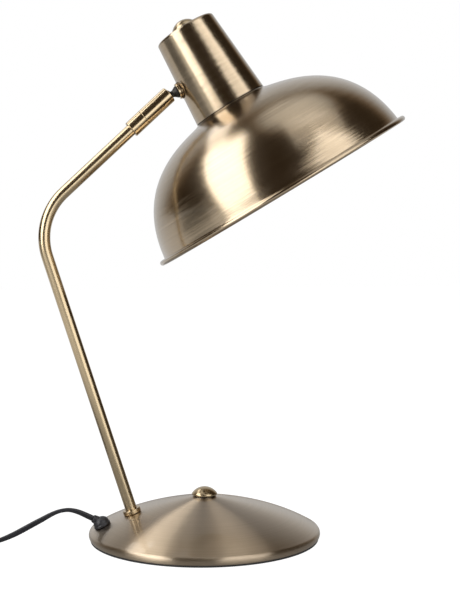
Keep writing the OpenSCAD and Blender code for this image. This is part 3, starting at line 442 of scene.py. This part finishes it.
surround = bpy.data.worlds.new("surround")
bpy.context.scene.world = surround
walls = Finish("surround", surround)
way_y, way_z = walls.node("SeparateXYZ", {}, {0: walls.node("TexCoord", out="Generated")}, ("Y", "Z"))
behind = walls.eased(way_y + 0.3 * way_z, 0.5, 1.0, 0.04, 0.62)
paleness = behind.at_least(walls.eased(way_z, 0.86, 1.0, 0.04, 0.95))
watched = walls.node("LightPath", out="Is Camera Ray")
sky = next(n for n in walls.tree.nodes if n.type == "BACKGROUND")
walls.feed(sky, "Strength", paleness + watched * (1 - paleness))
walls.feed(sky, "Color", walls.blend(walls.eased(paleness, 0.05, 0.5, 0.0, 1.0).at_least(watched),
                                     (1, 0.68, 0.38, 1), (1, 1, 1, 1)))

lit_middle, light_away = Vector((0, 0, 0.22)), 1.7
for name, bearing, rise, level, wide, high, lean in (
        ("soft_light_left", -68, 26.5, 3.5, 1.0, 2.4, 38),
        ("soft_light_back", -130, 49, 1.9, 1.1, 0.35, 0),
        ("soft_light_right", 32.5, 18, 1.7, 1.42, 2.3, -25),
        ("soft_light_top", 27, 60, 0.6, 1.2, 0.9, -10)):
    light = bpy.data.lights.new(name, "AREA")
    light.shape, light.size, light.size_y = "RECTANGLE", wide, high
    light.energy = level * pi * wide * high
    lamp = bpy.data.objects.new(name, light)
    aim = Vector((sin(radians(bearing)) * cos(radians(rise)),
                  -cos(radians(bearing)) * cos(radians(rise)), sin(radians(rise))))
    lamp.matrix_world = Matrix.Translation(lit_middle + light_away * aim) @ aim.to_track_quat(
        "Z", "Y").to_matrix().to_4x4() @ Matrix.Rotation(radians(lean), 4, "Z")
    bpy.context.collection.objects.link(lamp)


# Foot ring: a flat rubber ring under the rim of the base, glued on so that the lamp doesn't slide.
def turned(name, outline, place=Matrix(), fillets=(), steps=180):
    """A piece turned about the upright axis from an outline of (radius, height) in millimetres, with
    fillets of (radius, corners) on it, and put in its place. An outline that ends on the axis stays
    open there."""
    bm = bmesh.new()
    corners = [bm.verts.new((r, 0, z)) for r, z in outline]
    on_axis = outline[0][0] == 0 and outline[-1][0] == 0
    for pair in zip(corners, corners[1:] + ([] if on_axis else corners[:1])):
        bm.edges.new(pair)
    for size, numbers in fillets:
        soften(bm, [corners[i] for i in numbers], size, 4, "VERTICES")
    bmesh.ops.spin(bm, geom=bm.verts[:] + bm.edges[:], cent=(0, 0, 0), axis=(0, 0, 1), angle=2 * pi,
                   steps=steps, use_merge=True)
    bmesh.ops.remove_doubles(bm, verts=bm.verts, dist=0.0005)
    bmesh.ops.recalc_face_normals(bm, faces=bm.faces)
    piece = make_piece(name, bm, place)
    piece.modifiers.new("even_shading", "WEIGHTED_NORMAL").keep_sharp = True
    return piece


rubber = moulded("rubber", (0.010, 0.010, 0.011, 1), (0.030, 0.029, 0.029, 1), 0.62, 1800.0, 0.00006)
foot_pad = turned("foot_pad", [(88.1, 0), (98.7, 0), (98.7, 1.6), (88.1, 1.6)], fillets=[(0.4, (0, 1))])
foot_pad.data.materials.append(rubber)
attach(foot_pad, "base")
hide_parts("foot_ring")


# Ballast and bottom plate: a cast iron disc that keeps the lamp standing, closed from below by a
# black steel plate with three countersunk screws.
iron = Finish("iron")
sand = iron.cloud(iron.here(), 700.0, 5.0, 0.65)
iron = iron.wear(Base_Color=iron.blend(sand, (0.05, 0.05, 0.052, 1), (0.16, 0.155, 0.15, 1)),
                 Metallic=0.6, Roughness=0.55 + 0.3 * sand, Normal=iron.relief(sand, 0.0003))
plate_paint = moulded("plate_paint", (0.018, 0.018, 0.019, 1), (0.035, 0.035, 0.036, 1), 0.45, 1500.0)
dress("base_weight", iron)
dress("base_plate", plate_paint)
dress("base_screws", steel)


# Base cover: a steel sheet spun to a low dome with a crease and a short rolled-in lip, brass plated,
# brushed while it turns, browned and lacquered.
def with_wall(outline, wall):
    """A sheet's closed outline: along its outside and back along its inside, one wall further in."""
    back = []
    for i, (r, z) in enumerate(outline):
        (r0, z0), (r1, z1) = outline[max(i - 1, 0)], outline[min(i + 1, len(outline) - 1)]
        run = hypot(r1 - r0, z1 - z0)
        back.append((max(0, r + wall * (z1 - z0) / run), z - wall * (r1 - r0) / run))
    return outline + back[::-1]


def curve(a, b, c, d, steps):
    """Points along a curve that leaves a towards b and reaches d from c."""
    return [tuple((1 - t) ** 3 * p + 3 * (1 - t) ** 2 * t * q + 3 * (1 - t) * t * t * r + t ** 3 * s
                  for p, q, r, s in zip(a, b, c, d)) for t in (k / steps for k in range(steps + 1))]


def brushed_brass(name, place, brown, bright, rough, comb, **more):
    """Antique brass, brushed round the axis of its place. Each brush line tips the surface a little
    towards or away from the axis, which draws reflections out across the lines."""
    finish = Finish(name)
    at = finish.node("Mapping", {"vector_type": "TEXTURE"}, {
        "Vector": finish.here(), "Location": place.translation, "Rotation": place.to_euler()})
    x, y, z = finish.node("SeparateXYZ", {}, {0: at}, ("X", "Y", "Z"))
    radius = (x * x + y * y) ** 0.5

    def lines(pitch, turns, detail):
        """Brush lines round the axis, a pitch of so many millimetres apart."""
        spot = finish.node("CombineXYZ", {}, {
            "X": x / radius * turns, "Y": y / radius * turns, "Z": radius * (1000 / pitch)})
        return finish.node("TexNoise", {"noise_dimensions": "4D"}, {
            "Vector": spot, "W": z * (1000 / pitch), "Scale": 1.0, "Detail": detail,
            "Roughness": 0.6})

    brush = lines(0.07, 3.0, 0.0)
    streak = lines(1.5, 0.7, 2.0)
    tarnish = finish.cloud(at, 14.0, 4.0, 0.6)
    axis = place.to_3x3() @ Vector((0, 0, 1))
    facing = finish.node("VectorTransform", {
        "vector_type": "NORMAL", "convert_from": "WORLD", "convert_to": "OBJECT"}, {
        0: finish.node("NewGeometry", out="Normal")})
    outwards = finish.node("VectorMath", {"operation": "SUBTRACT"}, {
        0: finish.here(), 1: place.translation})
    round_way = finish.node("VectorMath", {"operation": "CROSS_PRODUCT"}, {0: axis, 1: outwards})
    slope_way = finish.node("VectorMath", {"operation": "NORMALIZE"}, {
        0: finish.node("VectorMath", {"operation": "CROSS_PRODUCT"}, {0: round_way, 1: facing})})
    tipped = finish.node("VectorMath", {"operation": "NORMALIZE"}, {
        0: finish.node("VectorMath", {"operation": "ADD"}, {0: facing, 1: finish.node(
            "VectorMath", {"operation": "SCALE"}, {
                0: slope_way, "Scale": comb * (brush - 0.5) + 0.08 * (streak - 0.5)})})})
    normal = finish.node("VectorTransform", {
        "vector_type": "NORMAL", "convert_from": "OBJECT", "convert_to": "WORLD"}, {0: tipped})
    tone = 0.5 + 0.6 * (streak - 0.5) + 0.5 * (tarnish - 0.5) + 0.2 * (brush - 0.5)
    return finish.wear(Base_Color=finish.blend(tone, brown, bright), Metallic=1.0,
                       Roughness=rough + 0.05 * (streak - 0.5) + 0.08 * (tarnish - 0.5),
                       Normal=normal, **more)


crease_r, crease_z, dome_rise, finial_seat = 97.8, 8.7, 29.5, 9.7


def dome(r):
    """Height of the base's dome: two thirds a cone, the rest a curve that steepens to the crease."""
    t = r / crease_r
    return crease_z + dome_rise * (1 - 0.665 * t - 0.335 * t ** 3.7)


cover_line = [(3.3, dome(finial_seat))] + [
    (r, dome(r)) for r in (finial_seat + (crease_r - finial_seat) * k / 60 for k in range(61))]
cover_line += curve((crease_r, crease_z), (100.4, 7.8), (100.8, 3.5), (98.7, 1.6), 12)[1:]
cover = turned("cover", with_wall(cover_line, 1), steps=256)
cover.data.materials.append(brushed_brass(
    "cover_brass", Matrix(), (0.385, 0.305, 0.21, 1), (0.63, 0.505, 0.365, 1), 0.36, 0.3,
    Anisotropic=1.0, Anisotropic_Rotation=0.25, Coat_Weight=0.6, Coat_Roughness=0.05))
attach(cover, "base")
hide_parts("base_cover")


# Tie rod: a zinc plated threaded rod through the middle of the base, with a nut and washer in the
# pocket of the ballast. It pulls the cover down on the ballast.
for part in "tie_rod", "tie_nut", "tie_washer":
    dress(part, steel)


# Finials: low domed cap nuts, one on the tie rod and one on top of the cup, each on a thin dark
# washer. They are turned from brass and polished rather than brushed.
shade_tall, cup_foot, cup_top = 84.4, 85.4, 160.7
cup_low_r, cup_high_r = 32.9, 27
taper = atan((cup_low_r - cup_high_r) / (cup_top - cup_foot))
stud_height, ball_out = 118, 13.8
stud_from_axis = cup_low_r - (stud_height - cup_foot) * tan(taper)

# The head hangs on the centre of its ball, tilted forwards and turned a little about its stud.
ball_point = Vector((-0.0321615, 0, 0.3792693))
head_tilt, head_turn = radians(30.85), radians(-3.5)
stud_rise = head_tilt - taper
head_place = (Matrix.Translation(ball_point)
              @ Matrix.Rotation(head_turn, 4, Vector((cos(stud_rise), 0, sin(stud_rise))))
              @ Matrix.Rotation(-head_tilt, 4, "Y")
              @ Matrix.Translation(Vector((stud_from_axis + ball_out * cos(taper), 0,
                                           -stud_height - ball_out * sin(taper))) / 1000))


def on_head(height):
    """A place on the shade's axis, that many millimetres above the middle of its rim."""
    return head_place @ Matrix.Translation((0, 0, height / 1000))


def polished_brass(name, brown, bright, rough, along, **more):
    """Antique brass, polished: cloudy patches and faint streaks, drawn out where a scale is small."""
    finish = Finish(name)
    at = finish.here()
    patch = finish.cloud(at, 55.0, 4.0, 0.6)
    streak = finish.cloud(finish.node("Mapping", {}, {"Vector": at, "Scale": along}), 1.0, 3.0, 0.6)
    tone = 0.5 + 0.5 * (patch - 0.5) + 0.4 * (streak - 0.5)
    return finish.wear(Base_Color=finish.blend(tone, brown, bright), Metallic=1.0,
                       Roughness=rough + 0.06 * (patch - 0.5) + 0.05 * (streak - 0.5),
                       Normal=finish.relief(streak, 0.0000004), **more)


dark_washer = moulded("dark_washer", (0.008, 0.008, 0.008, 1), (0.024, 0.022, 0.02, 1), 0.4)
warm_tones = (0.44, 0.33, 0.19, 1), (0.62, 0.50, 0.33, 1)
cap_r, cap_high, crown_high, shim_thick, bore_deep = 11, 7.2, 5.8, 0.9, 5.4
crown_r = (cap_r ** 2 + crown_high ** 2) / (2 * crown_high)
crown_turn = atan(cap_r / (crown_r - crown_high))
crown = [(crown_r * sin(a), cap_high - crown_r + crown_r * cos(a))
         for a in (crown_turn * (1 - k / 22) for k in range(22))]
for part, place, body, rod in (
        ("base_finial", Matrix.Translation((0, 0, dome(finial_seat) / 1000)), "base", 3),
        ("cup_finial", on_head(cup_top), "head", 5)):
    cap_line = [(0, bore_deep), (rod, bore_deep), (rod, 0), (cap_r - 0.4, 0), (cap_r, 0.4)]
    lift = Matrix.Translation((0, 0, shim_thick / 1000))
    cap_nut = turned(part + "_cap", cap_line + crown + [(0, cap_high)], place @ lift,
                     [(0.25, (2,)), (0.35, (5,))], 96)
    cap_nut.data.materials.append(polished_brass(
        part + "_brass", *warm_tones, 0.22, (500, 500, 500), Coat_Weight=0.3, Coat_Roughness=0.15))
    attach(cap_nut, body)
    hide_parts(part)
    under = turned(part + "_shim", [(rod + 0.3, 0), (9.3, 0), (9.3, shim_thick), (rod + 0.3, shim_thick)],
                   place, [(0.15, (1, 2))], 96)
    under.data.materials.append(dark_washer)
    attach(under, body)
    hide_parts(part + "_washer")


# Stem: one 10 mm steel tube with a 1 mm wall, bent once, brass plated and polished along its length.
# A washer and a nut hold its threaded foot under the cover.
stem_from_axis, foot_lean, arm_lean = 62.7, radians(17.7), radians(46.8)
long_part, short_part, bend_r, tube_below, tube_short = 264, 152, 52, 8, 20
foot_place = Matrix.Translation((-stem_from_axis / 1000, 0, dome(stem_from_axis) / 1000)) @ (
    Matrix.Rotation(-foot_lean, 4, "Y"))
arm_place = Matrix.Translation(ball_point) @ Matrix.Rotation(arm_lean, 4, "Y")
stem_way = foot_place.to_3x3() @ Vector((0, 0, 1))
arm_way = arm_place.to_3x3() @ Vector((0, 0, 1))
bend_turn = foot_lean + arm_lean
bend_reach = bend_r * tan(bend_turn / 2)
bend_middle = (foot_place @ Vector((bend_r / 1000, 0, (long_part - bend_reach) / 1000))) * 1000
tube = bmesh.new()
bmesh.ops.create_circle(tube, segments=72, radius=5,
                        matrix=Matrix.Scale(1000, 4) @ foot_place @ Matrix.Scale(0.001, 4)
                        @ Matrix.Translation((0, 0, -tube_below)))


def drawn_on(ring, shift):
    """The tube drawn on by one straight length, and its new end."""
    grown = bmesh.ops.extrude_edge_only(tube, edges=ring)["geom"]
    bmesh.ops.translate(tube, vec=shift, verts=[v for v in grown if isinstance(v, bmesh.types.BMVert)])
    return [e for e in grown if isinstance(e, bmesh.types.BMEdge)]


# A ring of its own at each end keeps the tube's cut edges from bending the shading of its length.
tube_end = drawn_on(drawn_on(tube.edges[:], stem_way),
                    (long_part - bend_reach + tube_below - 1) * stem_way)
bent = bmesh.ops.spin(tube, geom=tube_end + list({v for e in tube_end for v in e.verts}),
                      cent=bend_middle, axis=(0, 1, 0), angle=bend_turn, steps=32)["geom_last"]
drawn_on(drawn_on([e for e in bent if isinstance(e, bmesh.types.BMEdge)],
                  (short_part - bend_reach - tube_short - 1) * arm_way), arm_way)
bmesh.ops.remove_doubles(tube, verts=tube.verts, dist=0.0005)
bmesh.ops.recalc_face_normals(tube, faces=tube.faces)
stem = make_piece("stem", tube)
wall = stem.modifiers.new("wall", "SOLIDIFY")
wall.thickness, wall.offset, wall.use_even_offset = 0.001, -1, True
stem.data.materials.append(polished_brass(
    "stem_brass", (0.50, 0.385, 0.225, 1), (0.68, 0.55, 0.36, 1), 0.23, (900, 900, 20),
    Coat_Weight=0.4, Coat_Roughness=0.08))
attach(stem, "base")
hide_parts("stem_tube")

collar = turned("collar", [(5.02, 0.1), (7.7, 0.1), (7.7, 3.8), (5.02, 3.8)], foot_place,
                [(0.6, (1, 2)), (0.2, (3,))], 96)
collar.data.materials.append(polished_brass(
    "collar_brass", *warm_tones, 0.26, (500, 500, 500), Coat_Weight=0.3, Coat_Roughness=0.12))
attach(collar, "base")
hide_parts("stem_collar")
for part in "stem_washer", "stem_nut":
    dress(part, steel)


# Gland: a moulded rubber bushing clipped through the cover. The cord turns inside its dome and
# leaves through a short boss that points away from the lamp.
gland_r, gland_brow, gland_high = 6.75, 3, 8.2
gland_line = [(0, -3.2), (5.6, -3.2), (5.6, -1.3), (4.4, -1.3), (4.4, 0.15), (7.3, 0.15), (7.3, 1.9),
              (6.7, 2.3), (gland_r, gland_brow)]
gland_line += [(gland_r * cos(a), gland_brow + (gland_high - gland_brow) * sin(a))
               for a in (pi / 2 * k / 16 for k in range(1, 16))]
gland = turned("gland", gland_line + [(0, gland_high)], gland_place, [(0.45, (5, 6)), (0.3, (7,))], 72)
boss = turned("gland_boss", [(0, 0), (3.75, 0), (3.75, 4.2), (3.3, boss_long), (2.2, boss_long), (2, 7.2),
                             (0, 7.2)],
              Matrix.Translation(boss_root) @ Matrix.Rotation(boss_rise - pi / 2, 4, "Y"),
              [(0.6, (2,)), (0.5, (3,)), (0.25, (4,))], 48)
gland_rubber = moulded("gland_rubber", (0.009, 0.009, 0.012, 1), (0.026, 0.026, 0.031, 1), 0.34,
                       1800.0, 0.00004)
for part in gland, boss:
    part.data.materials.append(gland_rubber)
    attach(part, "base")
    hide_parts("cord_gland")


# Inner lead: one thin black round lead from the gland up the stem, through the hollow ball and stud
# and into the lampholder.
lead_jacket = moulded("lead_jacket", (0.010, 0.010, 0.012, 1), (0.028, 0.028, 0.032, 1), 0.36)
for part in "lead_stem", "lead_ball", "lead_head":
    dress(part, lead_jacket)


# Sleeve: two turned brass pieces screwed together at the joint line. The lower one holds the stem,
# and the lip of the upper one keeps the ball in.
socket_r, socket_turn, joint_line, sleeve_end = 6.05, 0.6237, -25.9, -40.8
mouth_r = sqrt(socket_r ** 2 - 3.55 ** 2)
sleeve_low = turned("sleeve_low", [(5.02, sleeve_end), (7.15, sleeve_end), (7.15, joint_line),
                                   (6.3, joint_line), (6.3, -12), (2.6, -12), (2.6, -tube_short),
                                   (5.02, -tube_short)],
                    arm_place, [(0.55, (1,)), (0.35, (2,)), (0.2, (0,))], 120)
socket = [(socket_r * cos(a), socket_r * sin(a))
          for a in (socket_turn * (1 - k / 10) for k in range(11))]
sleeve_high = turned("sleeve_high", [(6.3, joint_line), (7.15, joint_line), (7.15, 3.8), (mouth_r, 3.8)]
                     + socket + [(6.3, 0)], arm_place, [(0.35, (1,)), (0.6, (2,)), (0.12, (3,))], 120)
sleeve_brass = polished_brass(
    "sleeve_brass", (0.46, 0.35, 0.205, 1), (0.64, 0.515, 0.335, 1), 0.2, (500, 500, 500),
    Coat_Weight=0.4, Coat_Roughness=0.08)
for part, node in (sleeve_low, "sleeve_base"), (sleeve_high, "sleeve_cap"):
    part.data.materials.append(sleeve_brass)
    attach(part, "base")
    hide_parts(node)


# Seat: a machined nylon cup, pressed against the ball by a disc spring, so that the joint holds by
# friction wherever it is put.
dress("ball_seat", moulded("nylon", (0.62, 0.60, 0.54, 1), (0.74, 0.72, 0.66, 1), 0.35, 900.0))
dress("seat_spring", steel)


# Ball stud: a steel ball, neck, shoulder and hollow threaded stud in one turned piece, black oxide.
stud_place = on_head(stud_height) @ Matrix.Translation((-stud_from_axis / 1000, 0, 0)) @ Matrix.Rotation(
    taper - pi / 2, 4, "Y")
ball_r, neck_r, bore_r = 6, 2.8, 1.9
neck_turn, bore_turn = asin(neck_r / ball_r), pi - asin(bore_r / ball_r)
ball = [(ball_r * sin(a), ball_out - ball_r * cos(a))
        for a in (neck_turn + (bore_turn - neck_turn) * k / 30 for k in range(31))]
ball_piece = turned("ball_piece", [(bore_r, -6.8), (4, -6.8), (4, 2.7), (5, 2.7), (5, 3.7), (3.3, 6.2),
                                   (neck_r, 7.2)] + ball, stud_place, [(0.25, (3, 4)), (0.6, (5,))], 96)
oxide = Finish("black_oxide")
rub = oxide.cloud(oxide.here(), 260.0, 4.0, 0.6)
oxide = oxide.wear(Base_Color=oxide.blend(rub, (0.010, 0.010, 0.011, 1), (0.055, 0.050, 0.044, 1)),
                   Metallic=0.7, Roughness=0.22 + 0.25 * rub, Normal=oxide.relief(rub, 0.00003))
ball_piece.data.materials.append(oxide)
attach(ball_piece, "stud")
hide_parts("ball_stud")


# Stud nut and washers: a round brass nut on a saddle washer that is hollow towards the cup, and a
# washer and locknut inside the cup.
stud_ring = turned("stud_ring", [(4.05, 0.9), (6.8, 0.9), (6.8, 2.6), (4.05, 2.6)], stud_place,
                   [(0.35, (1, 2)), (0.2, (3,))], 96)
stud_ring.data.materials.append(polished_brass(
    "nut_brass", (0.52, 0.40, 0.24, 1), (0.72, 0.58, 0.39, 1), 0.2, (500, 500, 500),
    Coat_Weight=0.3, Coat_Roughness=0.12))
saddle = turned("saddle", [(4.05, -0.9), (7.4, -0.9), (7.4, 0.88), (4.05, 0.88)], stud_place,
                [(0.25, (2,))], 96)
saddle.data.materials.append(brushed_brass(
    "saddle_brass", stud_place, (0.12, 0.085, 0.05, 1), (0.26, 0.19, 0.115, 1), 0.28, 0.3))
for part, node in (stud_ring, "stud_nut"), (saddle, "stud_washer"):
    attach(part, "head")
    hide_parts(node)
for part in "stud_inner_washer", "stud_locknut":
    dress(part, steel)


# Cup: a tapered cup spun from brass plated steel, 1.2 mm thick, which hides the lampholder. Its top
# edge is rounded, and the ball stud goes through its side.
edge_round = 2.5
corner = (cup_high_r - edge_round * (1 - sin(taper)) / cos(taper), cup_top - edge_round)
cup_line = [(5.1, cup_top)]
for k in range(13):
    turn = (pi / 2 - taper) * k / 12
    cup_line.append((corner[0] + edge_round * sin(turn), corner[1] + edge_round * cos(turn)))
cup_line += [(cup_low_r - (z - cup_foot) * tan(taper), z) for z in (150, 135, 120, 105, 95, 86, 85.42)]
cup = turned("cup_shell", with_wall(cup_line, 1.2), head_place, steps=220)
spun_tones = (0.33, 0.255, 0.165, 1), (0.57, 0.455, 0.315, 1)
cup.data.materials.append(brushed_brass(
    "cup_brass", head_place, *spun_tones, 0.18, 0.35, Coat_Weight=0.6, Coat_Roughness=0.12))
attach(cup, "head")
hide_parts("cup")


# Seam ring: a dark gasket between the cup and the shade, which shows as a thin line. Its finish is
# blacker and duller than rubber: painted shade that stands in for the shadowed recess of the seam.
gasket = turned("gasket", [(29.7, shade_tall), (32.2, shade_tall), (32.2, cup_foot), (29.7, cup_foot)],
                head_place, [(0.2, (1, 2))], 128)
gasket.data.materials.append(moulded("gasket_with_seam_shade", (0.003, 0.003, 0.003, 1), (0.008, 0.007, 0.007, 1),
                                     0.85, Specular_IOR_Level=0.1))
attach(gasket, "head")
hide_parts("seam_ring")


# Shade: a dome spun from 0.8 mm sheet, with a flat top, a steep side, a short flare and a rim that
# is rolled outwards to a bead. It is plated, brushed while it turns, browned and lacquered.
bead_at, bead_r = 119.5, 1.4
top, foot = Vector((33.5, shade_tall)), Vector((116, 3))
shoulder = top + (foot - top) * Vector((0.045, 0.056))
side = top + (foot - top) * Vector((0.882, 0.065))
shade_line = [(20.3, shade_tall), (27, shade_tall)] + curve(top, shoulder, side, foot, 72)
shade_line += curve(foot, (116.4, 1.5), (bead_at - bead_r, 1.6), (bead_at - bead_r, -0.05), 6)[1:]
shade_line += [(bead_at - bead_r * cos(a), -bead_r * sin(a))
               for a in (radians(6 + 308 * k / 36) for k in range(37))]
dome_shade = turned("dome_shade", with_wall(shade_line, 0.8), head_place, steps=256)
dome_shade.data.materials.append(brushed_brass(
    "shade_brass", head_place, *spun_tones, 0.18, 0.5, Coat_Weight=0.6, Coat_Roughness=0.12))
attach(dome_shade, "head")
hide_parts("shade")


# Lampholder: moulded in white, with a flange above the shade, a threaded skirt through it, a ring
# that clamps the shade and a cap where the lead comes in. A hollow rod ties it to the cup.
white_plastic = moulded("white_plastic", (0.66, 0.645, 0.60, 1), (0.74, 0.725, 0.68, 1), 0.38, 1400.0,
                        0.00002)
skirt_r, thread_deep, thread_pitch = 20, 0.35, 2.4
skirt = [(skirt_r - thread_deep + thread_deep * cos(2 * pi * k / 8), 67 + thread_pitch * k / 8)
         for k in range(41)]
holder = turned("holder", [(14.3, 66), (19.3, 66)] + skirt + [
    (skirt_r, shade_tall), (25, shade_tall), (25, shade_tall + 2), (skirt_r, shade_tall + 2),
    (skirt_r, 104), (2.4, 104), (2.4, 98), (14.3, 98)],
    head_place, [(0.3, (0,)), (0.4, (44, 45))], 128)
holder.data.materials.append(white_plastic)
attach(holder, "head")
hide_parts("holder_body")
for part in "holder_cap", "shade_ring":
    dress(part, white_plastic)
for part in "holder_rod", "rod_nut", "rod_washer":
    dress(part, steel)
contact_brass = plated("contact_brass", (0.55, 0.40, 0.18, 1), (0.78, 0.60, 0.32, 1), 0.3)
for part in "holder_shell", "holder_contact", "switch_contacts":
    dress(part, contact_brass)


# Bulb: an opal glass globe, cemented in a plated screw cap. It isn't lit.
globe_r, globe_z = 30, 38
globe_line = [(13.2, 70), (13.35, 67)] + [
    (globe_r * sin(a), globe_z + globe_r * cos(a))
    for a in (radians(32 + 148 * k / 60) for k in range(61))]
globe_line[-1] = (0.01, globe_line[-1][1])
globe = turned("globe", with_wall(globe_line, 1), head_place, steps=128)
opal = Finish("opal_glass")
milk = opal.cloud(opal.here(), 30.0, 3.0)
opal = opal.wear(Base_Color=opal.blend(milk, (0.72, 0.71, 0.68, 1), (0.80, 0.79, 0.76, 1)),
                 Roughness=0.12 + 0.1 * milk, Normal=opal.relief(milk, 0.00005), Coat_Weight=0.4)
globe.data.materials.append(opal)
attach(globe, "head")
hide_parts("bulb_glass")
dress("bulb_cap", steel)
